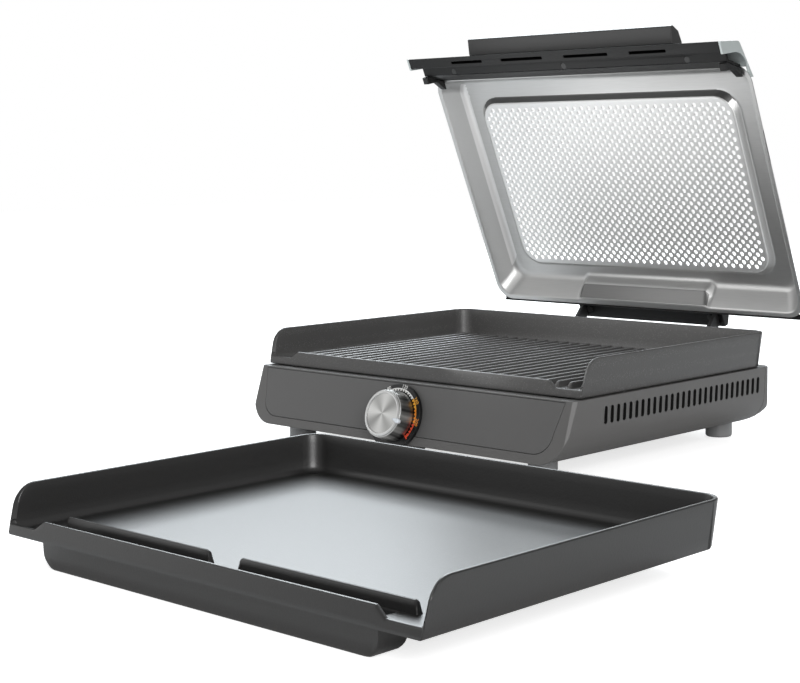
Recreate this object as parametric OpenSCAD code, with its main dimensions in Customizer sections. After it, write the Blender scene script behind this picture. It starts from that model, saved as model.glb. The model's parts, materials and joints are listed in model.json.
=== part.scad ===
// Electric indoor grill: a heated base with a lift-out ribbed plate, a hinged vented lid
// and a spare flat griddle plate that stands on the table in front of the base.
// Origin: on the table, midway between the four feet. +X right, -Y front, +Z up. Millimetres.

/* [Base] */
// Width of the base across its top rim
base_w = 380; // [350:1:420]
// Depth from the centre line to the front top edge
base_front = 142; // [138:1:160]
// Depth from the centre line to the rear top edge
base_back = 154; // [152:1:165]
// Height of the top rim above the table
rim_z = 67.5; // [64:0.5:80]
// Height of the underside above the table
under_z = 15.5; // [10:0.5:18]
// Lean of the control fascia from upright
fascia_lean = 18; // [12:1:22]
// Half of the width that each side draws in by at mid height
side_draft = 1; // [0:0.5:5]
// Radius of the long lower edges
edge_r = 27; // [20:1:30]
// Radius of the rear upright corners
rear_corner_r = 14; // [8:1:20]
// Wall thickness of the base mouldings
wall = 2.6; // [2:0.1:3]
// Chamfer on the front upright corners
front_chamfer = 5; // [3:0.5:8]
// Length of the rear cover, measured forward from the rear edge
rear_cover_d = 14; // [10:1:16]
// Gap at the joint lines between mouldings
seam = 0.3; // [0.2:0.05:0.5]

/* [Side vents] */
// Number of vent slots in each side wall
vent_count = 28; // [20:1:29]
// Distance from slot to slot
vent_pitch = 8.5; // [7.5:0.1:8.6]
// Width of one slot
vent_w = 4.4; // [3:0.1:5]
// Height of one slot
vent_h = 15; // [10:0.5:18]
// Distance from the rim down to the top of the slots
vent_drop = 8; // [6:0.5:10]
// Place of the first slot behind the front edge
vent_start = 40.6; // [36:0.2:44]

/* [Feet] */
// Diameter of a foot
foot_d = 24.8; // [18:0.2:28]
// Spacing of the feet from side to side
foot_span_x = 292; // [260:1:300]
// Spacing of the feet from front to back
foot_span_y = 260; // [230:1:264]

/* [Fascia panel] */
// Half width of the fascia panel at the top
panel_top_half = 180; // [165:1:182]
// Half width of the fascia panel at the bottom
panel_bottom_half = 174; // [150:1:176]
// Height of the fascia panel along the slope
panel_len = 45; // [40:0.5:46]
// Thickness of the fascia panel
panel_t = 1.8; // [1.2:0.1:2]

/* [Knob] */
// Distance from the rim down the slope to the knob axis
knob_drop = 32; // [29:0.5:34]
// Radius of the dial ring
dial_r = 29.2; // [26:0.2:30]
// Height of the dial ring above the fascia
dial_h = 4; // [2:0.5:6]
// Radius of the knob skirt at its foot
knob_foot_r = 22.6; // [20:0.2:24]
// Radius of the knob skirt at its top
knob_top_r = 21; // [18:0.2:22]
// Height of the knob skirt
knob_h = 15; // [10:0.5:20]
// Radius of the knob face
knob_cap_r = 20.2; // [16:0.2:20.4]
// Radius of the knob spindle
spindle_r = 3; // [2.5:0.1:4]
// Gap between a turning shaft and its bore
run_gap = 0.05; // [0.02:0.01:0.1]

/* [Plates] */
// Space between the lower edge of the grill plate and each side of the base rim
plate_side_gap = 2.5; // [1:0.1:5]
// Depth of a plate at its lower edge
plate_d = 276; // [268:1:280]
// Height of the side and back walls of a plate
plate_h = 32.4; // [28:0.2:38]
// Height of the front lip of a plate
lip_h = 12.7; // [11:0.1:16]
// Wall thickness of a plate
plate_t = 3; // [2.5:0.1:4]
// Height of the cooking floor above the lower edge
floor_h = 3.4; // [3:0.1:4]
// Outward flare of the walls at the top
plate_flare = 2.9; // [1:0.1:4]
// Radius of the falling front ends of the walls
wall_end_r = 18; // [14:0.5:20]
// Lean of the front ends of the walls from upright
wall_end_lean = 16; // [8:1:20]
// Radius of the rear corners of a plate
plate_corner_r = 16; // [8:1:18]
// Gap between the plate and what it sits on
seat_gap = 0.3; // [0.2:0.05:0.5]
// Height of the plate's lower edge above the base rim
plate_lift = 0.8; // [0.6:0.1:1.5]
// Depth of the grease trough below the lower edge
trough_depth = 18; // [14:0.5:19]
// Half length of the grease trough
trough_half = 153; // [130:1:160]
// Width of the grease trough
trough_w = 23.5; // [20:0.5:26]
// Number of grilling ribs
rib_count = 26; // [20:1:26]
// Distance from rib to rib
rib_pitch = 13.5; // [12:0.1:13.6]
// Height of a rib above the cooking floor
rib_h = 5; // [3:0.2:6]
// Width of a rib at its foot
rib_w = 5; // [3:0.2:6]

/* [Griddle place] */
// Sideways place of the spare griddle plate on the table
griddle_x = 250; // [200:1:280]
// Distance of the spare griddle plate in front of the base centre
griddle_y = 450; // [330:1:480]

/* [Lid] */
// Angle at which the lid stands open
lid_open = 66; // [50:1:80]
// Space between the inside of the lid's rim and each side of the base
lid_side_gap = 3; // [2:0.1:5]
// Depth of the lid from its rim to the inner roof
lid_depth = 22.2; // [18:0.2:26]
// Draw-in of the lid sides from rim to roof
lid_draft = 11; // [6:1:16]
// Thickness of the lid sheet
sheet = 1; // [0.8:0.1:1.4]
// Depth of the raised vent panel pressed into the roof
vent_step = 6; // [3:0.5:8]
// Half width of the raised vent panel
vent_half = 153; // [140:1:156]
// Width of the turned-out rim flange
flange_w = 4.4; // [2:0.2:5]
// Distance of the lid hinge axis behind the base centre
hinge_y = 182; // [180:1:192]
// Height of the lid hinge axis above the table
hinge_z = 56; // [50:1:60]
// Lean of the lid front from upright
lid_lean = 20; // [14:1:22]

/* [Hinge] */
// Radius of the hinge pins
pin_r = 4; // [3:0.1:5]
// Distance from the centre to the inner face of a hinge arm
arm_x = 81; // [70:1:90]
// Thickness of a hinge arm
arm_t = 4; // [3:0.5:6]

/* [Heater] */
// Radius of the heating tube
tube_r = 3.3; // [3:0.1:3.6]
// Distance between runs of the heating tube
run_pitch = 30; // [24:1:32]
// Half length of the straight runs
run_half = 80; // [60:1:84]

/* [Hidden] */
$fn = 48;

big = 600;                                   // longer than the whole object
eps = 0.01;
half_w = base_w / 2;
slope = rim_z - under_z;                     // height of the base body
fascia_len = slope / cos(fascia_lean);       // length of the fascia down the slope
plate_z = rim_z + plate_lift;                // lower edge of the grill plate in the base
plate_front = -plate_d / 2 + 4.6;            // front face of a plate
plate_back = plate_front + plate_d;          // rear face of a plate at its lower edge
plate_half = half_w - plate_side_gap;
wall_top = plate_z + plate_h;                // top of the grill plate walls
end_rise = plate_h - wall_end_r;             // height of the centre of the wall end arc
end_y = plate_front + (wall_end_r + end_rise * sin(wall_end_lean)) / cos(wall_end_lean);
trough_y = plate_front + 3.9;                // front wall of the trough
lid_z = wall_top + seat_gap;                 // rim of the closed lid
lid_half = half_w - lid_side_gap;               // inner half width of the closed lid's rim
lid_back = plate_back - 1;                   // inner rear edge of the closed lid rim
lid_front = end_y + 2;                       // front edge of the closed lid pan
roof_z = lid_z + lid_depth;                  // inner roof of the closed lid
ledge_z = lid_z - 3;                         // front top edge of the closed lid
trim_z = rim_z + 2;                          // underside of the closed lid front
trim_y = -base_front - 4.5;                  // foremost lower edge of the closed lid
tray_z = 41;                                 // underside of the reflector tray
tray_top = rim_z - wall - 0.2;               // underside of the tray flange
tray_half = half_w - 22;
tray_front = plate_front + 2.2;
tray_back = 118;
open_half = half_w - 13;                             // half width of the opening in the base rim
deck_t = 1.2;
skirt_half = tray_half - 12;                 // skirt under a plate, inside the tray
skirt_front = tray_front + 35.2;
skirt_back = tray_back - 8;
skirt_t = 2.5;
skirt_h = 9;
element_z = plate_z - tube_r - 0.9;          // axis of the heating tube
first_run = -2 * run_pitch;                  // foremost straight run
last_run = first_run + 5 * run_pitch;

// Points along an arc about c, from angle a0 to a1
function arc(c, r, a0, a1, n = 8) =
    [for (i = [0 : n]) c + r * [cos(a0 + (a1 - a0) * i / n), sin(a0 + (a1 - a0) * i / n)]];

// Profile drawn as (x, z), run along Y from y0 to y1
module along_y(y0, y1) {
    translate([0, y1, 0]) rotate([90, 0, 0]) linear_extrude(y1 - y0) children();
}

// Profile drawn as (y, z), run along X from x0 to x1
module along_x(x0, x1) {
    translate([x0, 0, 0]) rotate([90, 0, 90]) linear_extrude(x1 - x0) children();
}

// Frame on the sloping fascia: x right, y up the slope from the rim, z outward
module on_fascia() {
    translate([0, -base_front, rim_z]) rotate([90 - fascia_lean, 0, 0]) children();
}

// Frame of the knob: z outward along the knob axis, from the face of the fascia
module on_knob() {
    on_fascia() translate([0, -knob_drop, 0]) children();
}

// Turns the closed lid about its hinge to where it stands open
module lid_place() {
    translate([0, hinge_y, hinge_z]) rotate([-lid_open, 0, 0])
        translate([0, -hinge_y, -hinge_z]) children();
}

// ---- Base mouldings ----

// Front view of the base body, drawn in by d
module base_front_view(d) {
    low = half_w - side_draft - edge_r;
    polygon(concat(
        [[half_w - d, rim_z]], arc([low, under_z + edge_r], edge_r - d, 0, -90, 10),
        arc([-low, under_z + edge_r], edge_r - d, -90, -180, 10), [[-half_w + d, rim_z]]));
}

// Side view of the base body, drawn in by d, as (y, z)
module base_side_view(d) {
    bottom_front = -base_front - (slope - d) * tan(fascia_lean) + d / cos(fascia_lean);
    polygon(concat(
        [[-base_front + d / cos(fascia_lean), rim_z], [bottom_front, under_z + d]],
        arc([base_back - edge_r, under_z + edge_r], edge_r - d, -90, 0, 10),
        [[base_back - d, rim_z]]));
}

// Plan view of the base body, drawn in by d
module base_plan(d) {
    r = rear_corner_r;
    polygon(concat(
        [[-half_w + d, -big], [half_w - d, -big]],
        arc([half_w - r, base_back - r], r - d, 0, 90),
        arc([-half_w + r, base_back - r], r - d, 90, 180)));
}

// Solid of the base body, drawn in by d
module base_form(d) {
    intersection() {
        along_y(-big / 2, big / 2) base_front_view(d);
        along_x(-half_w, half_w) base_side_view(d);
        translate([0, 0, -eps]) linear_extrude(rim_z + 1) base_plan(d);
    }
}

// Cuts the sloping chamfers on the two front upright corners
module corner_cuts() {
    for (s = [-1, 1])
        on_fascia() translate([s * half_w, -fascia_len / 2, 0])
            rotate([0, 45, 0]) cube([front_chamfer, fascia_len + 20, front_chamfer], center = true);
}

module vent_slots() {
    for (i = [0 : vent_count - 1])
        translate([-half_w - 1, -base_front + vent_start + i * vent_pitch, rim_z - vent_drop - vent_h]) {
            translate([0, -vent_w / 2, vent_w / 2]) cube([base_w + 2, vent_w, vent_h - vent_w]);
            for (z = [vent_w / 2, vent_h - vent_w / 2])
                translate([0, 0, z]) rotate([0, 90, 0]) cylinder(d = vent_w, h = base_w + 2);
        }
}

module foot_places() {
    for (x = [-1, 1], y = [-1, 1])
        translate([x * foot_span_x / 2, y * foot_span_y / 2, 0]) children();
}

// Outline of the fascia panel on the slope, drawn in by d
module panel_outline(d) {
    r = 18;
    top = -1.6 - d;
    low = -1.6 - panel_len + d;
    a = panel_bottom_half - d;
    polygon(concat(
        [[-panel_top_half + d, top], [panel_top_half - d, top]],
        arc([a - r, low + r], r, 0, -90), arc([-a + r, low + r], r, -90, -180)));
}

cover_half_x = 132;
cover_front = -104;
cover_back = 104;
cover_t = 1.4;

module housing_shell() {
    color("#555554") difference() {
        union() {
            difference() {
                base_form(0);
                intersection() {
                    base_form(wall);
                    translate([-half_w, -big / 2, 0]) cube([base_w, big, rim_z - wall]);
                }
                vent_slots();
            }
            // bosses that carry the feet
            foot_places() translate([0, 0, under_z]) cylinder(d = foot_d, h = wall + 2);
            // boss behind the dial, which hangs below the fascia
            intersection() {
                on_knob() translate([0, 0, -24]) cylinder(r = dial_r - 1.2, h = 24, $fn = 64);
                translate([-60, -big / 2, under_z - 9]) cube([120, big, 12]);
            }
        }
        // opening that the plate and the tray hang in
        translate([-open_half, plate_front + 0.9, rim_z - wall - 1])
            cube([2 * open_half, 130 - plate_front - 0.9, wall + 2]);
        corner_cuts();
        // rebate of the fascia panel
        on_fascia() translate([0, 0, -panel_t]) linear_extrude(panel_t + 1) panel_outline(0);
        // holes for the knob spindle and the thermostat neck
        on_knob() translate([0, 0, -30]) cylinder(r = 6, h = 40);
        // rear end, which the rear cover closes
        translate([-half_w, base_back - rear_cover_d, under_z + 6.5]) cube([base_w, 40, slope]);
        // opening and rebate of the bottom cover
        translate([-cover_half_x + 6, cover_front + 6, under_z - 1])
            cube([2 * cover_half_x - 12, cover_back - cover_front - 12, 8]);
        translate([-cover_half_x, cover_front, under_z - 1])
            cube([2 * cover_half_x, cover_back - cover_front, cover_t + 1]);
        // holes of the foot screws and the plate rests
        foot_places() cylinder(r = 2.1, h = 40);
        rest_places() translate([0, 0, rim_z - 10]) cylinder(r = rest_r + 0.1, h = 12);
    }
}

module front_panel() {
    color("#5b5b5a") on_fascia() translate([0, 0, -panel_t]) difference() {
        linear_extrude(panel_t) panel_outline(seam);
        translate([0, -knob_drop, -1]) cylinder(r = 6.4, h = panel_t + 2);
    }
}

module rear_cover() {
    color("#4e4e4d") difference() {
        intersection() {
            difference() {
                base_form(0);
                intersection() {
                    base_form(wall);
                    translate([-half_w, -big / 2, 0]) cube([base_w, big, rim_z - wall]);
                }
            }
            translate([-half_w, base_back - rear_cover_d + seam, under_z + 6.5 + seam])
                cube([base_w, 40, slope]);
        }
        translate([gland_x, base_back - 20, gland_z]) rotate([-90, 0, 0]) cylinder(r = 6, h = 40);
        hinge_screw_places() cylinder(r = 2.1, h = 12, center = true);
        rear_screw_places() cylinder(r = 1.7, h = 12, center = true);
        for (i = [-4 : 4])
            translate([i * 9 - 2, base_back - rear_cover_d - 1, under_z + 12]) cube([4, 30, 12]);
    }
}

module bottom_cover() {
    color("#454545") difference() {
        translate([-cover_half_x + seam, cover_front + seam, under_z])
            cube([2 * cover_half_x - 2 * seam, cover_back - cover_front - 2 * seam, cover_t]);
        for (i = [-6 : 6]) translate([i * 14 - 2.5, -30, under_z - 1]) cube([5, 60, 5]);
        bottom_screw_places() translate([0, 0, under_z - 1]) cylinder(r = 1.7, h = 4);
    }
}

module feet() {
    color("#3d3d3c") foot_places() difference() {
        union() {
            translate([0, 0, 1.5]) cylinder(d = foot_d, h = under_z - 1.5);
            cylinder(r1 = foot_d / 2 - 1.2, r2 = foot_d / 2, h = 1.5);
        }
        translate([0, 0, -1]) cylinder(r = 5, h = 8.4);
        cylinder(r = 2.1, h = 40);
    }
}

module foot_screws() {
    color("silver") foot_places() {
        translate([0, 0, 5]) cylinder(r = 3.8, h = 2.4);
        translate([0, 0, 7]) cylinder(r = 2, h = under_z - 7 + wall);
    }
}

module bottom_screw_places() {
    for (x = [-1, 1], y = [cover_front + 3, cover_back - 3])
        translate([x * (cover_half_x - 3), y, 0]) children();
}

module bottom_screws() {
    color("silver") bottom_screw_places() {
        translate([0, 0, under_z - 1]) cylinder(r = 2.6, h = 1);
        translate([0, 0, under_z - 0.2]) cylinder(r = 1.6, h = cover_t + 0.2);
    }
}

gland_x = half_w - 32;                       // cord gland in the rear cover
gland_z = rim_z - 17.5;
rear_screw_xs = [-half_w + 40, -100, 100];
rear_screw_drop = 13.5;

// Screws that hold the rear cover to the housing, as frames with z pointing rearward
module rear_screw_places() {
    for (x = rear_screw_xs)
        translate([x, base_back - wall / 2, rim_z - rear_screw_drop]) rotate([-90, 0, 0]) children();
}

module rear_screws() {
    color("#333333") rear_screw_places() {
        translate([0, 0, wall / 2]) cylinder(r = 3, h = 1.2);
        translate([0, 0, -wall / 2 - 4]) cylinder(r = 1.6, h = wall + 4.2);
    }
}

// ---- Heater ----

module top_deck() {
    color("#8f9092") difference() {
        intersection() {
            base_form(wall + seam);
            translate([-half_w, -big / 2, tray_top - deck_t]) cube([base_w, big, deck_t]);
            translate([-half_w, -big / 2, 0]) cube([base_w, base_back - rear_cover_d - 1 + big / 2, rim_z]);
        }
        translate([-tray_half - seam, tray_front - seam, 0])
            cube([2 * (tray_half + seam), tray_back - tray_front + 2 * seam, rim_z]);
        rest_places() cylinder(r = rest_r + 0.1, h = rim_z);
    }
}

rest_r = 3;
rest_ys = [-70, 90];
rest_z = tray_top - deck_t - 1.5;            // foot of a plate rest

module rest_places() {
    for (s = [-1, 1], y = rest_ys) translate([s * (plate_half - 4), y, 0]) children();
}

module plate_rests() {
    color("#7a3b2e") rest_places() {
        translate([0, 0, rest_z]) cylinder(r = rest_r, h = plate_z - seat_gap - rest_z);
        translate([0, 0, rest_z]) cylinder(r = rest_r + 0.7, h = 1.4);
    }
}

module reflector_tray() {
    color("#b4b6b8") difference() {
        union() {
            translate([-tray_half, tray_front, tray_z])
                cube([2 * tray_half, tray_back - tray_front, tray_top - tray_z]);
            translate([-open_half + 1, tray_front, tray_top])
                cube([2 * open_half - 2, tray_back + 8 - tray_front, 1]);
        }
        translate([-tray_half + 1, tray_front + 1, tray_z + 1])
            cube([2 * tray_half - 2, tray_back - tray_front - 2, 60]);
        insulator_places() translate([0, 0, tray_z - 5]) cylinder(r = insulator_r + 0.1, h = 20);
    }
}

// One half turn of the heating tube between neighbouring runs
module tube_turn(x, y, s) {
    translate([x, y, element_z]) rotate([0, 0, s > 0 ? -90 : 90])
        rotate_extrude(angle = 180) translate([run_pitch / 2, 0]) circle(r = tube_r, $fn = 32);
}

tail_x = -run_half - 30;
insulator_r = 6;
insulator_z = tray_z - 4;

module insulator_places() {
    for (y = [first_run, last_run]) translate([tail_x, y, 0]) children();
}

module heating_element() {
    color("#6b6660") {
        for (i = [0 : 5]) {
            long = (i == 0 || i == 5) ? tail_x : -run_half;
            translate([long, first_run + i * run_pitch, element_z]) rotate([0, 90, 0])
                cylinder(r = tube_r, h = run_half - long);
        }
        for (i = [0, 2, 4]) tube_turn(run_half, first_run + (i + 0.5) * run_pitch, 1);
        for (i = [1, 3]) tube_turn(-run_half, first_run + (i + 0.5) * run_pitch, -1);
        insulator_places() translate([0, 0, element_z]) sphere(r = tube_r);
        insulator_places() translate([0, 0, insulator_z - 6])
            cylinder(r = tube_r, h = element_z - insulator_z + 6);
    }
}

module element_insulators() {
    color("#e9e4da") insulator_places() difference() {
        union() {
            translate([0, 0, insulator_z]) cylinder(r = insulator_r, h = 16);
            translate([0, 0, tray_z + 1.1]) cylinder(r = insulator_r + 2, h = 3);
        }
        translate([0, 0, insulator_z - 1]) cylinder(r = tube_r + 0.1, h = 30);
    }
}

clamp_w = 8;
clamp_reach = 8;                             // how far a clamp runs on past the outer runs
clamp_pitch = 60;

module element_clamps() {
    strap_z = element_z - tube_r - 0.3;
    color("#a8aaac") for (i = [-1 : 1]) translate([i * clamp_pitch - clamp_w / 2, 0, 0]) {
        translate([0, first_run - clamp_reach, strap_z - 1])
            cube([clamp_w, last_run - first_run + 2 * clamp_reach, 1]);
        for (y = [first_run - clamp_reach, last_run + clamp_reach - 1])
            translate([0, y, tray_z + 1]) cube([clamp_w, 1, strap_z - tray_z - 1]);
    }
}

module sensor_bulb() {
    color("#b87333") translate([-34, -run_pitch / 2 - 30, tray_z + 6.3]) rotate([0, 90, 0])
        cylinder(r = 3, h = 68);
}

module sensor_clips() {
    color("#a8aaac") for (x = [-20, 16]) difference() {
        translate([x, -run_pitch / 2 - 34, tray_z + 1]) cube([4, 8, 10]);
        translate([x - 1, -run_pitch / 2 - 30, tray_z + 6.3]) rotate([0, 90, 0]) cylinder(r = 3.1, h = 6);
    }
}

module thermostat() {
    color("#c9c2b4") on_knob() difference() {
        union() {
            translate([-17, -10, -28]) cube([34, 20, 18]);
            translate([0, 0, -10.5]) cylinder(r = 5, h = 8.5);
            for (x = [-12, 12]) translate([x - 3, -4, -35]) cube([6, 1, 8]);
        }
        translate([0, 0, -22]) cylinder(r = spindle_r + run_gap, h = 40);
    }
}

module thermostat_nut() {
    color("#9a9c9e") on_knob() difference() {
        translate([0, 0, -9.9]) cylinder(r = 9, h = 5);
        translate([0, 0, -12]) cylinder(r = 5.1, h = 12);
    }
}

module thermal_fuse() {
    color("#d8d8d8") translate([60, 40, tray_z - 4.3]) rotate([0, 90, 0]) cylinder(r = 4, h = 22);
}

block_x = 96;
block_y = 70;

module terminal_block() {
    color("#e6e6e0") translate([block_x, block_y, under_z + wall]) difference() {
        cube([40, 18, 16]);
        for (i = [0 : 2]) translate([7 + 13 * i, 9, 8]) cylinder(r = 3, h = 12);
    }
}

lead_r = 1.3;

// One insulated lead between two points that differ in a single axis or two
module lead(a, b) {
    d = b - a;
    len = norm(d);
    translate(a) rotate([0, acos(d[2] / len), atan2(d[1], d[0])]) cylinder(r = lead_r, h = len, $fn = 16);
}

module lead_path(p) {
    for (i = [0 : len(p) - 2]) lead(p[i], p[i + 1]);
    for (i = [0 : len(p) - 1]) translate(p[i]) sphere(r = lead_r, $fn = 16);
}

module lead_wires() {
    z = tray_z - 12;
    t = insulator_z - 6.1 - lead_r;
    color("#d9d3c2") {
        lead_path([[tail_x, first_run, t], [tail_x, first_run, z], [-40, first_run, z], [-40, -100, z]]);
        lead_path([[tail_x, last_run, t], [tail_x, last_run, z], [block_x - 2, last_run, z],
                   [block_x - 2, block_y + 18.5, z]]);
        lead_path([[40, -100, z], [40, 45, z], [block_x - 6, 45, z], [block_x - 6, block_y + 9, z],
                   [block_x - 1.4, block_y + 9, z]]);
    }
}

module cord_gland() {
    color("#2b2b2b") translate([gland_x, base_back, gland_z]) rotate([-90, 0, 0]) difference() {
        union() {
            translate([0, 0, 0]) cylinder(r = 9, h = 4);
            translate([0, 0, -wall - 1]) cylinder(r = 5.9, h = wall + 2);
            translate([0, 0, -wall - 3]) cylinder(r = 7.6, h = 2.9);
            translate([0, 0, 3.9]) cylinder(r1 = 7, r2 = 5, h = 8);
        }
        translate([0, 0, -10]) cylinder(r = 3.5, h = 40);
    }
}

// ---- Dial and knob ----

module dial_ring() {
    color("#1b1b1b") on_knob() difference() {
        cylinder(r = dial_r, h = dial_h, $fn = 96);
        translate([0, 0, -10]) cylinder(r = 8, h = 20);
    }
}

knob_base = dial_h + 0.4;                      // foot of the knob above the fascia
knob_top = knob_base + knob_h;

module knob_spindle() {
    color("silver") on_knob() translate([0, 0, -21.5]) cylinder(r = spindle_r, h = 21.5 + knob_top - 3);
}

module knob_skirt() {
    color("#7d7f82") on_knob() difference() {
        translate([0, 0, knob_base]) cylinder(r1 = knob_foot_r, r2 = knob_top_r, h = knob_h, $fn = 96);
        translate([0, 0, knob_base - 1]) cylinder(r = knob_foot_r - 4, h = 4);
        translate([0, 0, knob_top - 1.2]) cylinder(r = knob_cap_r + 0.1, h = 3, $fn = 96);
        translate([0, 0, knob_base]) cylinder(r = spindle_r, h = knob_h - 3);
    }
}

module knob_cap() {
    color("#d0d2d4") on_knob() difference() {
        union() {
            translate([0, 0, knob_top - 1.2]) cylinder(r = knob_cap_r, h = 1.6, $fn = 96);
            translate([0, 0, knob_top + 0.4])
                cylinder(r1 = knob_cap_r, r2 = knob_cap_r - 1, h = 0.8, $fn = 96);
        }
        translate([0, 0, knob_top + 0.9]) cylinder(r = knob_cap_r - 2.2, h = 2, $fn = 96);
        translate([0, 0, knob_top + 0.2]) rotate([0, 0, pointer_turn])
            translate([knob_cap_r - 5, -1.4, 0]) cube([8, 2.8, 3]);
    }
}

pointer_turn = -18;                            // rest turn of the pointer, from straight right

module knob_pointer() {
    color("white") on_knob() rotate([0, 0, pointer_turn])
        translate([knob_cap_r - 4.8, -1.2, knob_top + 0.2]) cube([4.2, 2.4, 1]);
}

module knob_clip() {
    color("#9a9c9e") on_knob() difference() {
        translate([0, 0, knob_base + 3.2 - 1.6]) cylinder(r = spindle_r + 3, h = 1.4);
        translate([0, 0, knob_base]) cylinder(r = spindle_r + 0.1, h = 6);
    }
}

// ---- Plates ----

// Solid outline of a plate from its lower edge at z = 0, drawn in by d
module plate_form(d) {
    intersection() {
        along_y(-big / 2, big / 2) polygon([
            [-plate_half + d, 0], [plate_half - d, 0],
            [plate_half + plate_flare - d, plate_h + 1], [-plate_half - plate_flare + d, plate_h + 1]]);
        along_x(-big / 2, big / 2) polygon([
            [plate_front + d, 0], [plate_back - d, 0],
            [plate_back + plate_flare - d, plate_h + 1],
            [plate_front + d + (plate_h + 1) * tan(wall_end_lean), plate_h + 1]]);
        linear_extrude(plate_h + 1) plate_plan(d);
    }
}

module plate_plan(d) {
    r = plate_corner_r;
    w = plate_half + plate_flare - d;
    b = plate_back + plate_flare - d;
    polygon(concat(
        [[-w, plate_front - 1], [w, plate_front - 1]],
        arc([w - r + d / 2, b - r + d / 2], r - d / 2, 0, 90),
        arc([-w + r - d / 2, b - r + d / 2], r - d / 2, 90, 180)));
}

// Side view of the plate walls, with the falling front ends
module wall_side_view() {
    polygon(concat(
        [[plate_front, 0], [plate_front, -1], [big / 2, -1], [big / 2, plate_h]],
        arc([end_y, end_rise], wall_end_r, 90, 180 - wall_end_lean, 12)));
}

module trough_form(d) {
    r = 11;
    along_y(trough_y + d, trough_y + trough_w - d) polygon(concat(
        [[-trough_half - 2 + d, 1], [trough_half + 2 - d, 1]],
        arc([trough_half - r, -trough_depth + r], r - d, 0, -90, 6),
        arc([-trough_half + r, -trough_depth + r], r - d, -90, -180, 6)));
}

// Pan common to both plates, lower edge at z = 0
module plate_pan() {
    notch_x = plate_half - 28;
    difference() {
        union() {
            difference() {
                intersection() {
                    plate_form(0);
                    along_x(-big / 2, big / 2) wall_side_view();
                }
                intersection() {
                    plate_form(plate_t);
                    translate([-big / 2, -big / 2, floor_h]) cube(big);
                }
            }
            trough_form(0);
            // skirt that locates the plate over the heater
            difference() {
                translate([-skirt_half, skirt_front, -skirt_h])
                    cube([2 * skirt_half, skirt_back - skirt_front, skirt_h + 0.5]);
                translate([-skirt_half + skirt_t, skirt_front + skirt_t, -skirt_h - 1])
                    cube([2 * (skirt_half - skirt_t), skirt_back - skirt_front - 2 * skirt_t, skirt_h + 0.7]);
            }
            // pads that keep the plate level on a table
            for (s = [-1, 1]) translate([s * 112, 66, -trough_depth]) cylinder(r = 7, h = trough_depth + 0.5);
        }
        // opening above the low front lip
        translate([-plate_half + plate_t + 0.5, plate_front - 10, lip_h])
            cube([2 * (plate_half - plate_t) - 1, 30, 60]);
        // pouring notches at the two ends of the lip
        for (x = [-notch_x - 18, notch_x])
            translate([x, plate_front - 10, floor_h + 3.5]) cube([18, 20, 40]);
        // hollow of the trough
        intersection() {
            trough_form(2.4);
            translate([-big / 2, -big / 2, -trough_depth + 2.4]) cube([big, big, trough_depth]);
        }
        translate([-trough_half + 6, trough_y + 2.4, -4]) cube([2 * trough_half - 12, trough_w - 4.8, 20]);
    }
}

module grill_plate() {
    color("#3a3a39") translate([0, 0, plate_z]) {
        plate_pan();
        y0 = trough_y + trough_w - 1;
        for (i = [0 : rib_count - 1])
            translate([(i - (rib_count - 1) / 2) * rib_pitch, 0, floor_h])
                along_y(y0, plate_back - 12) polygon([
                    [-rib_w / 2, -0.4], [rib_w / 2, -0.4], [rib_w * 0.3, rib_h], [-rib_w * 0.3, rib_h]]);
    }
}

module griddle_plate() {
    ridge_y = trough_y + trough_w - 0.6;
    color("#3f3f3e") translate([griddle_x, -griddle_y, trough_depth]) {
        plate_pan();
        for (s = [-1, 1]) translate([s * (trough_half / 2 + 5.5) - 68, ridge_y, floor_h - 0.4])
            cube([136, 4, 6]);
    }
}

// ---- Lid, drawn closed ----

lid_corner_r = 14;
roof_back = lid_back - 14.5;                  // inner roof edges
roof_front = lid_front + 8;
roof_half = lid_half - lid_draft;

// Block with sloping sides between two levels. low and top are [half width, front y, rear y]
module sloping_block(z0, z1, low, top, r) {
    intersection() {
        along_y(-big / 2, big / 2)
            polygon([[-low[0], z0], [low[0], z0], [top[0], z1], [-top[0], z1]]);
        along_x(-big / 2, big / 2)
            polygon([[low[1], z0], [low[2], z0], [top[2], z1], [top[1], z1]]);
        translate([0, 0, z0]) linear_extrude(z1 - z0)
            round_plan(max(low[0], top[0]), min(low[1], top[1]), max(low[2], top[2]), r);
    }
}

module round_plan(half, y0, y1, r) {
    polygon(concat(
        arc([half - r, y1 - r], r, 0, 90), arc([-half + r, y1 - r], r, 90, 180),
        arc([-half + r, y0 + r], r, 180, 270), arc([half - r, y0 + r], r, 270, 360)));
}

// Hollow of the lid pan from rim to roof, swelled by d
module pan_form(d) {
    sloping_block(lid_z, roof_z + d, [lid_half + d, lid_front - d, lid_back + d],
                  [roof_half + d, roof_front - d, roof_back + d], lid_corner_r + d);
}

vent_back = roof_back - 19.3;
vent_front = roof_front + 25.2;
vent_slant = 5;

// Panel pressed down from the roof, shrunk by d
module vent_form(d) {
    sloping_block(roof_z - vent_step + d, roof_z + 3, [vent_half - d, vent_front + d, vent_back - d],
                  [vent_half + vent_slant - d, vent_front - vent_slant + d, vent_back + vent_slant - d], 24);
}

emboss_half = 76;

// Box pressed in from the rear wall to clear the hinge, shrunk by d
module emboss_form(d) {
    ridge_z = roof_z - 12;
    intersection() {
        along_x(-big / 2, big / 2) polygon([
            [roof_back - 4 + d, roof_z + 3], [roof_back - 0.8 + d, ridge_z + d],
            [lid_back - 2 + d, lid_z + d], [lid_back + 20, lid_z + d], [lid_back + 20, roof_z + 3]]);
        along_y(-big / 2, big / 2) polygon([
            [-emboss_half - 7 + d, lid_z - 1], [emboss_half + 7 - d, lid_z - 1],
            [emboss_half - d, roof_z + 3], [-emboss_half + d, roof_z + 3]]);
    }
}

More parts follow.
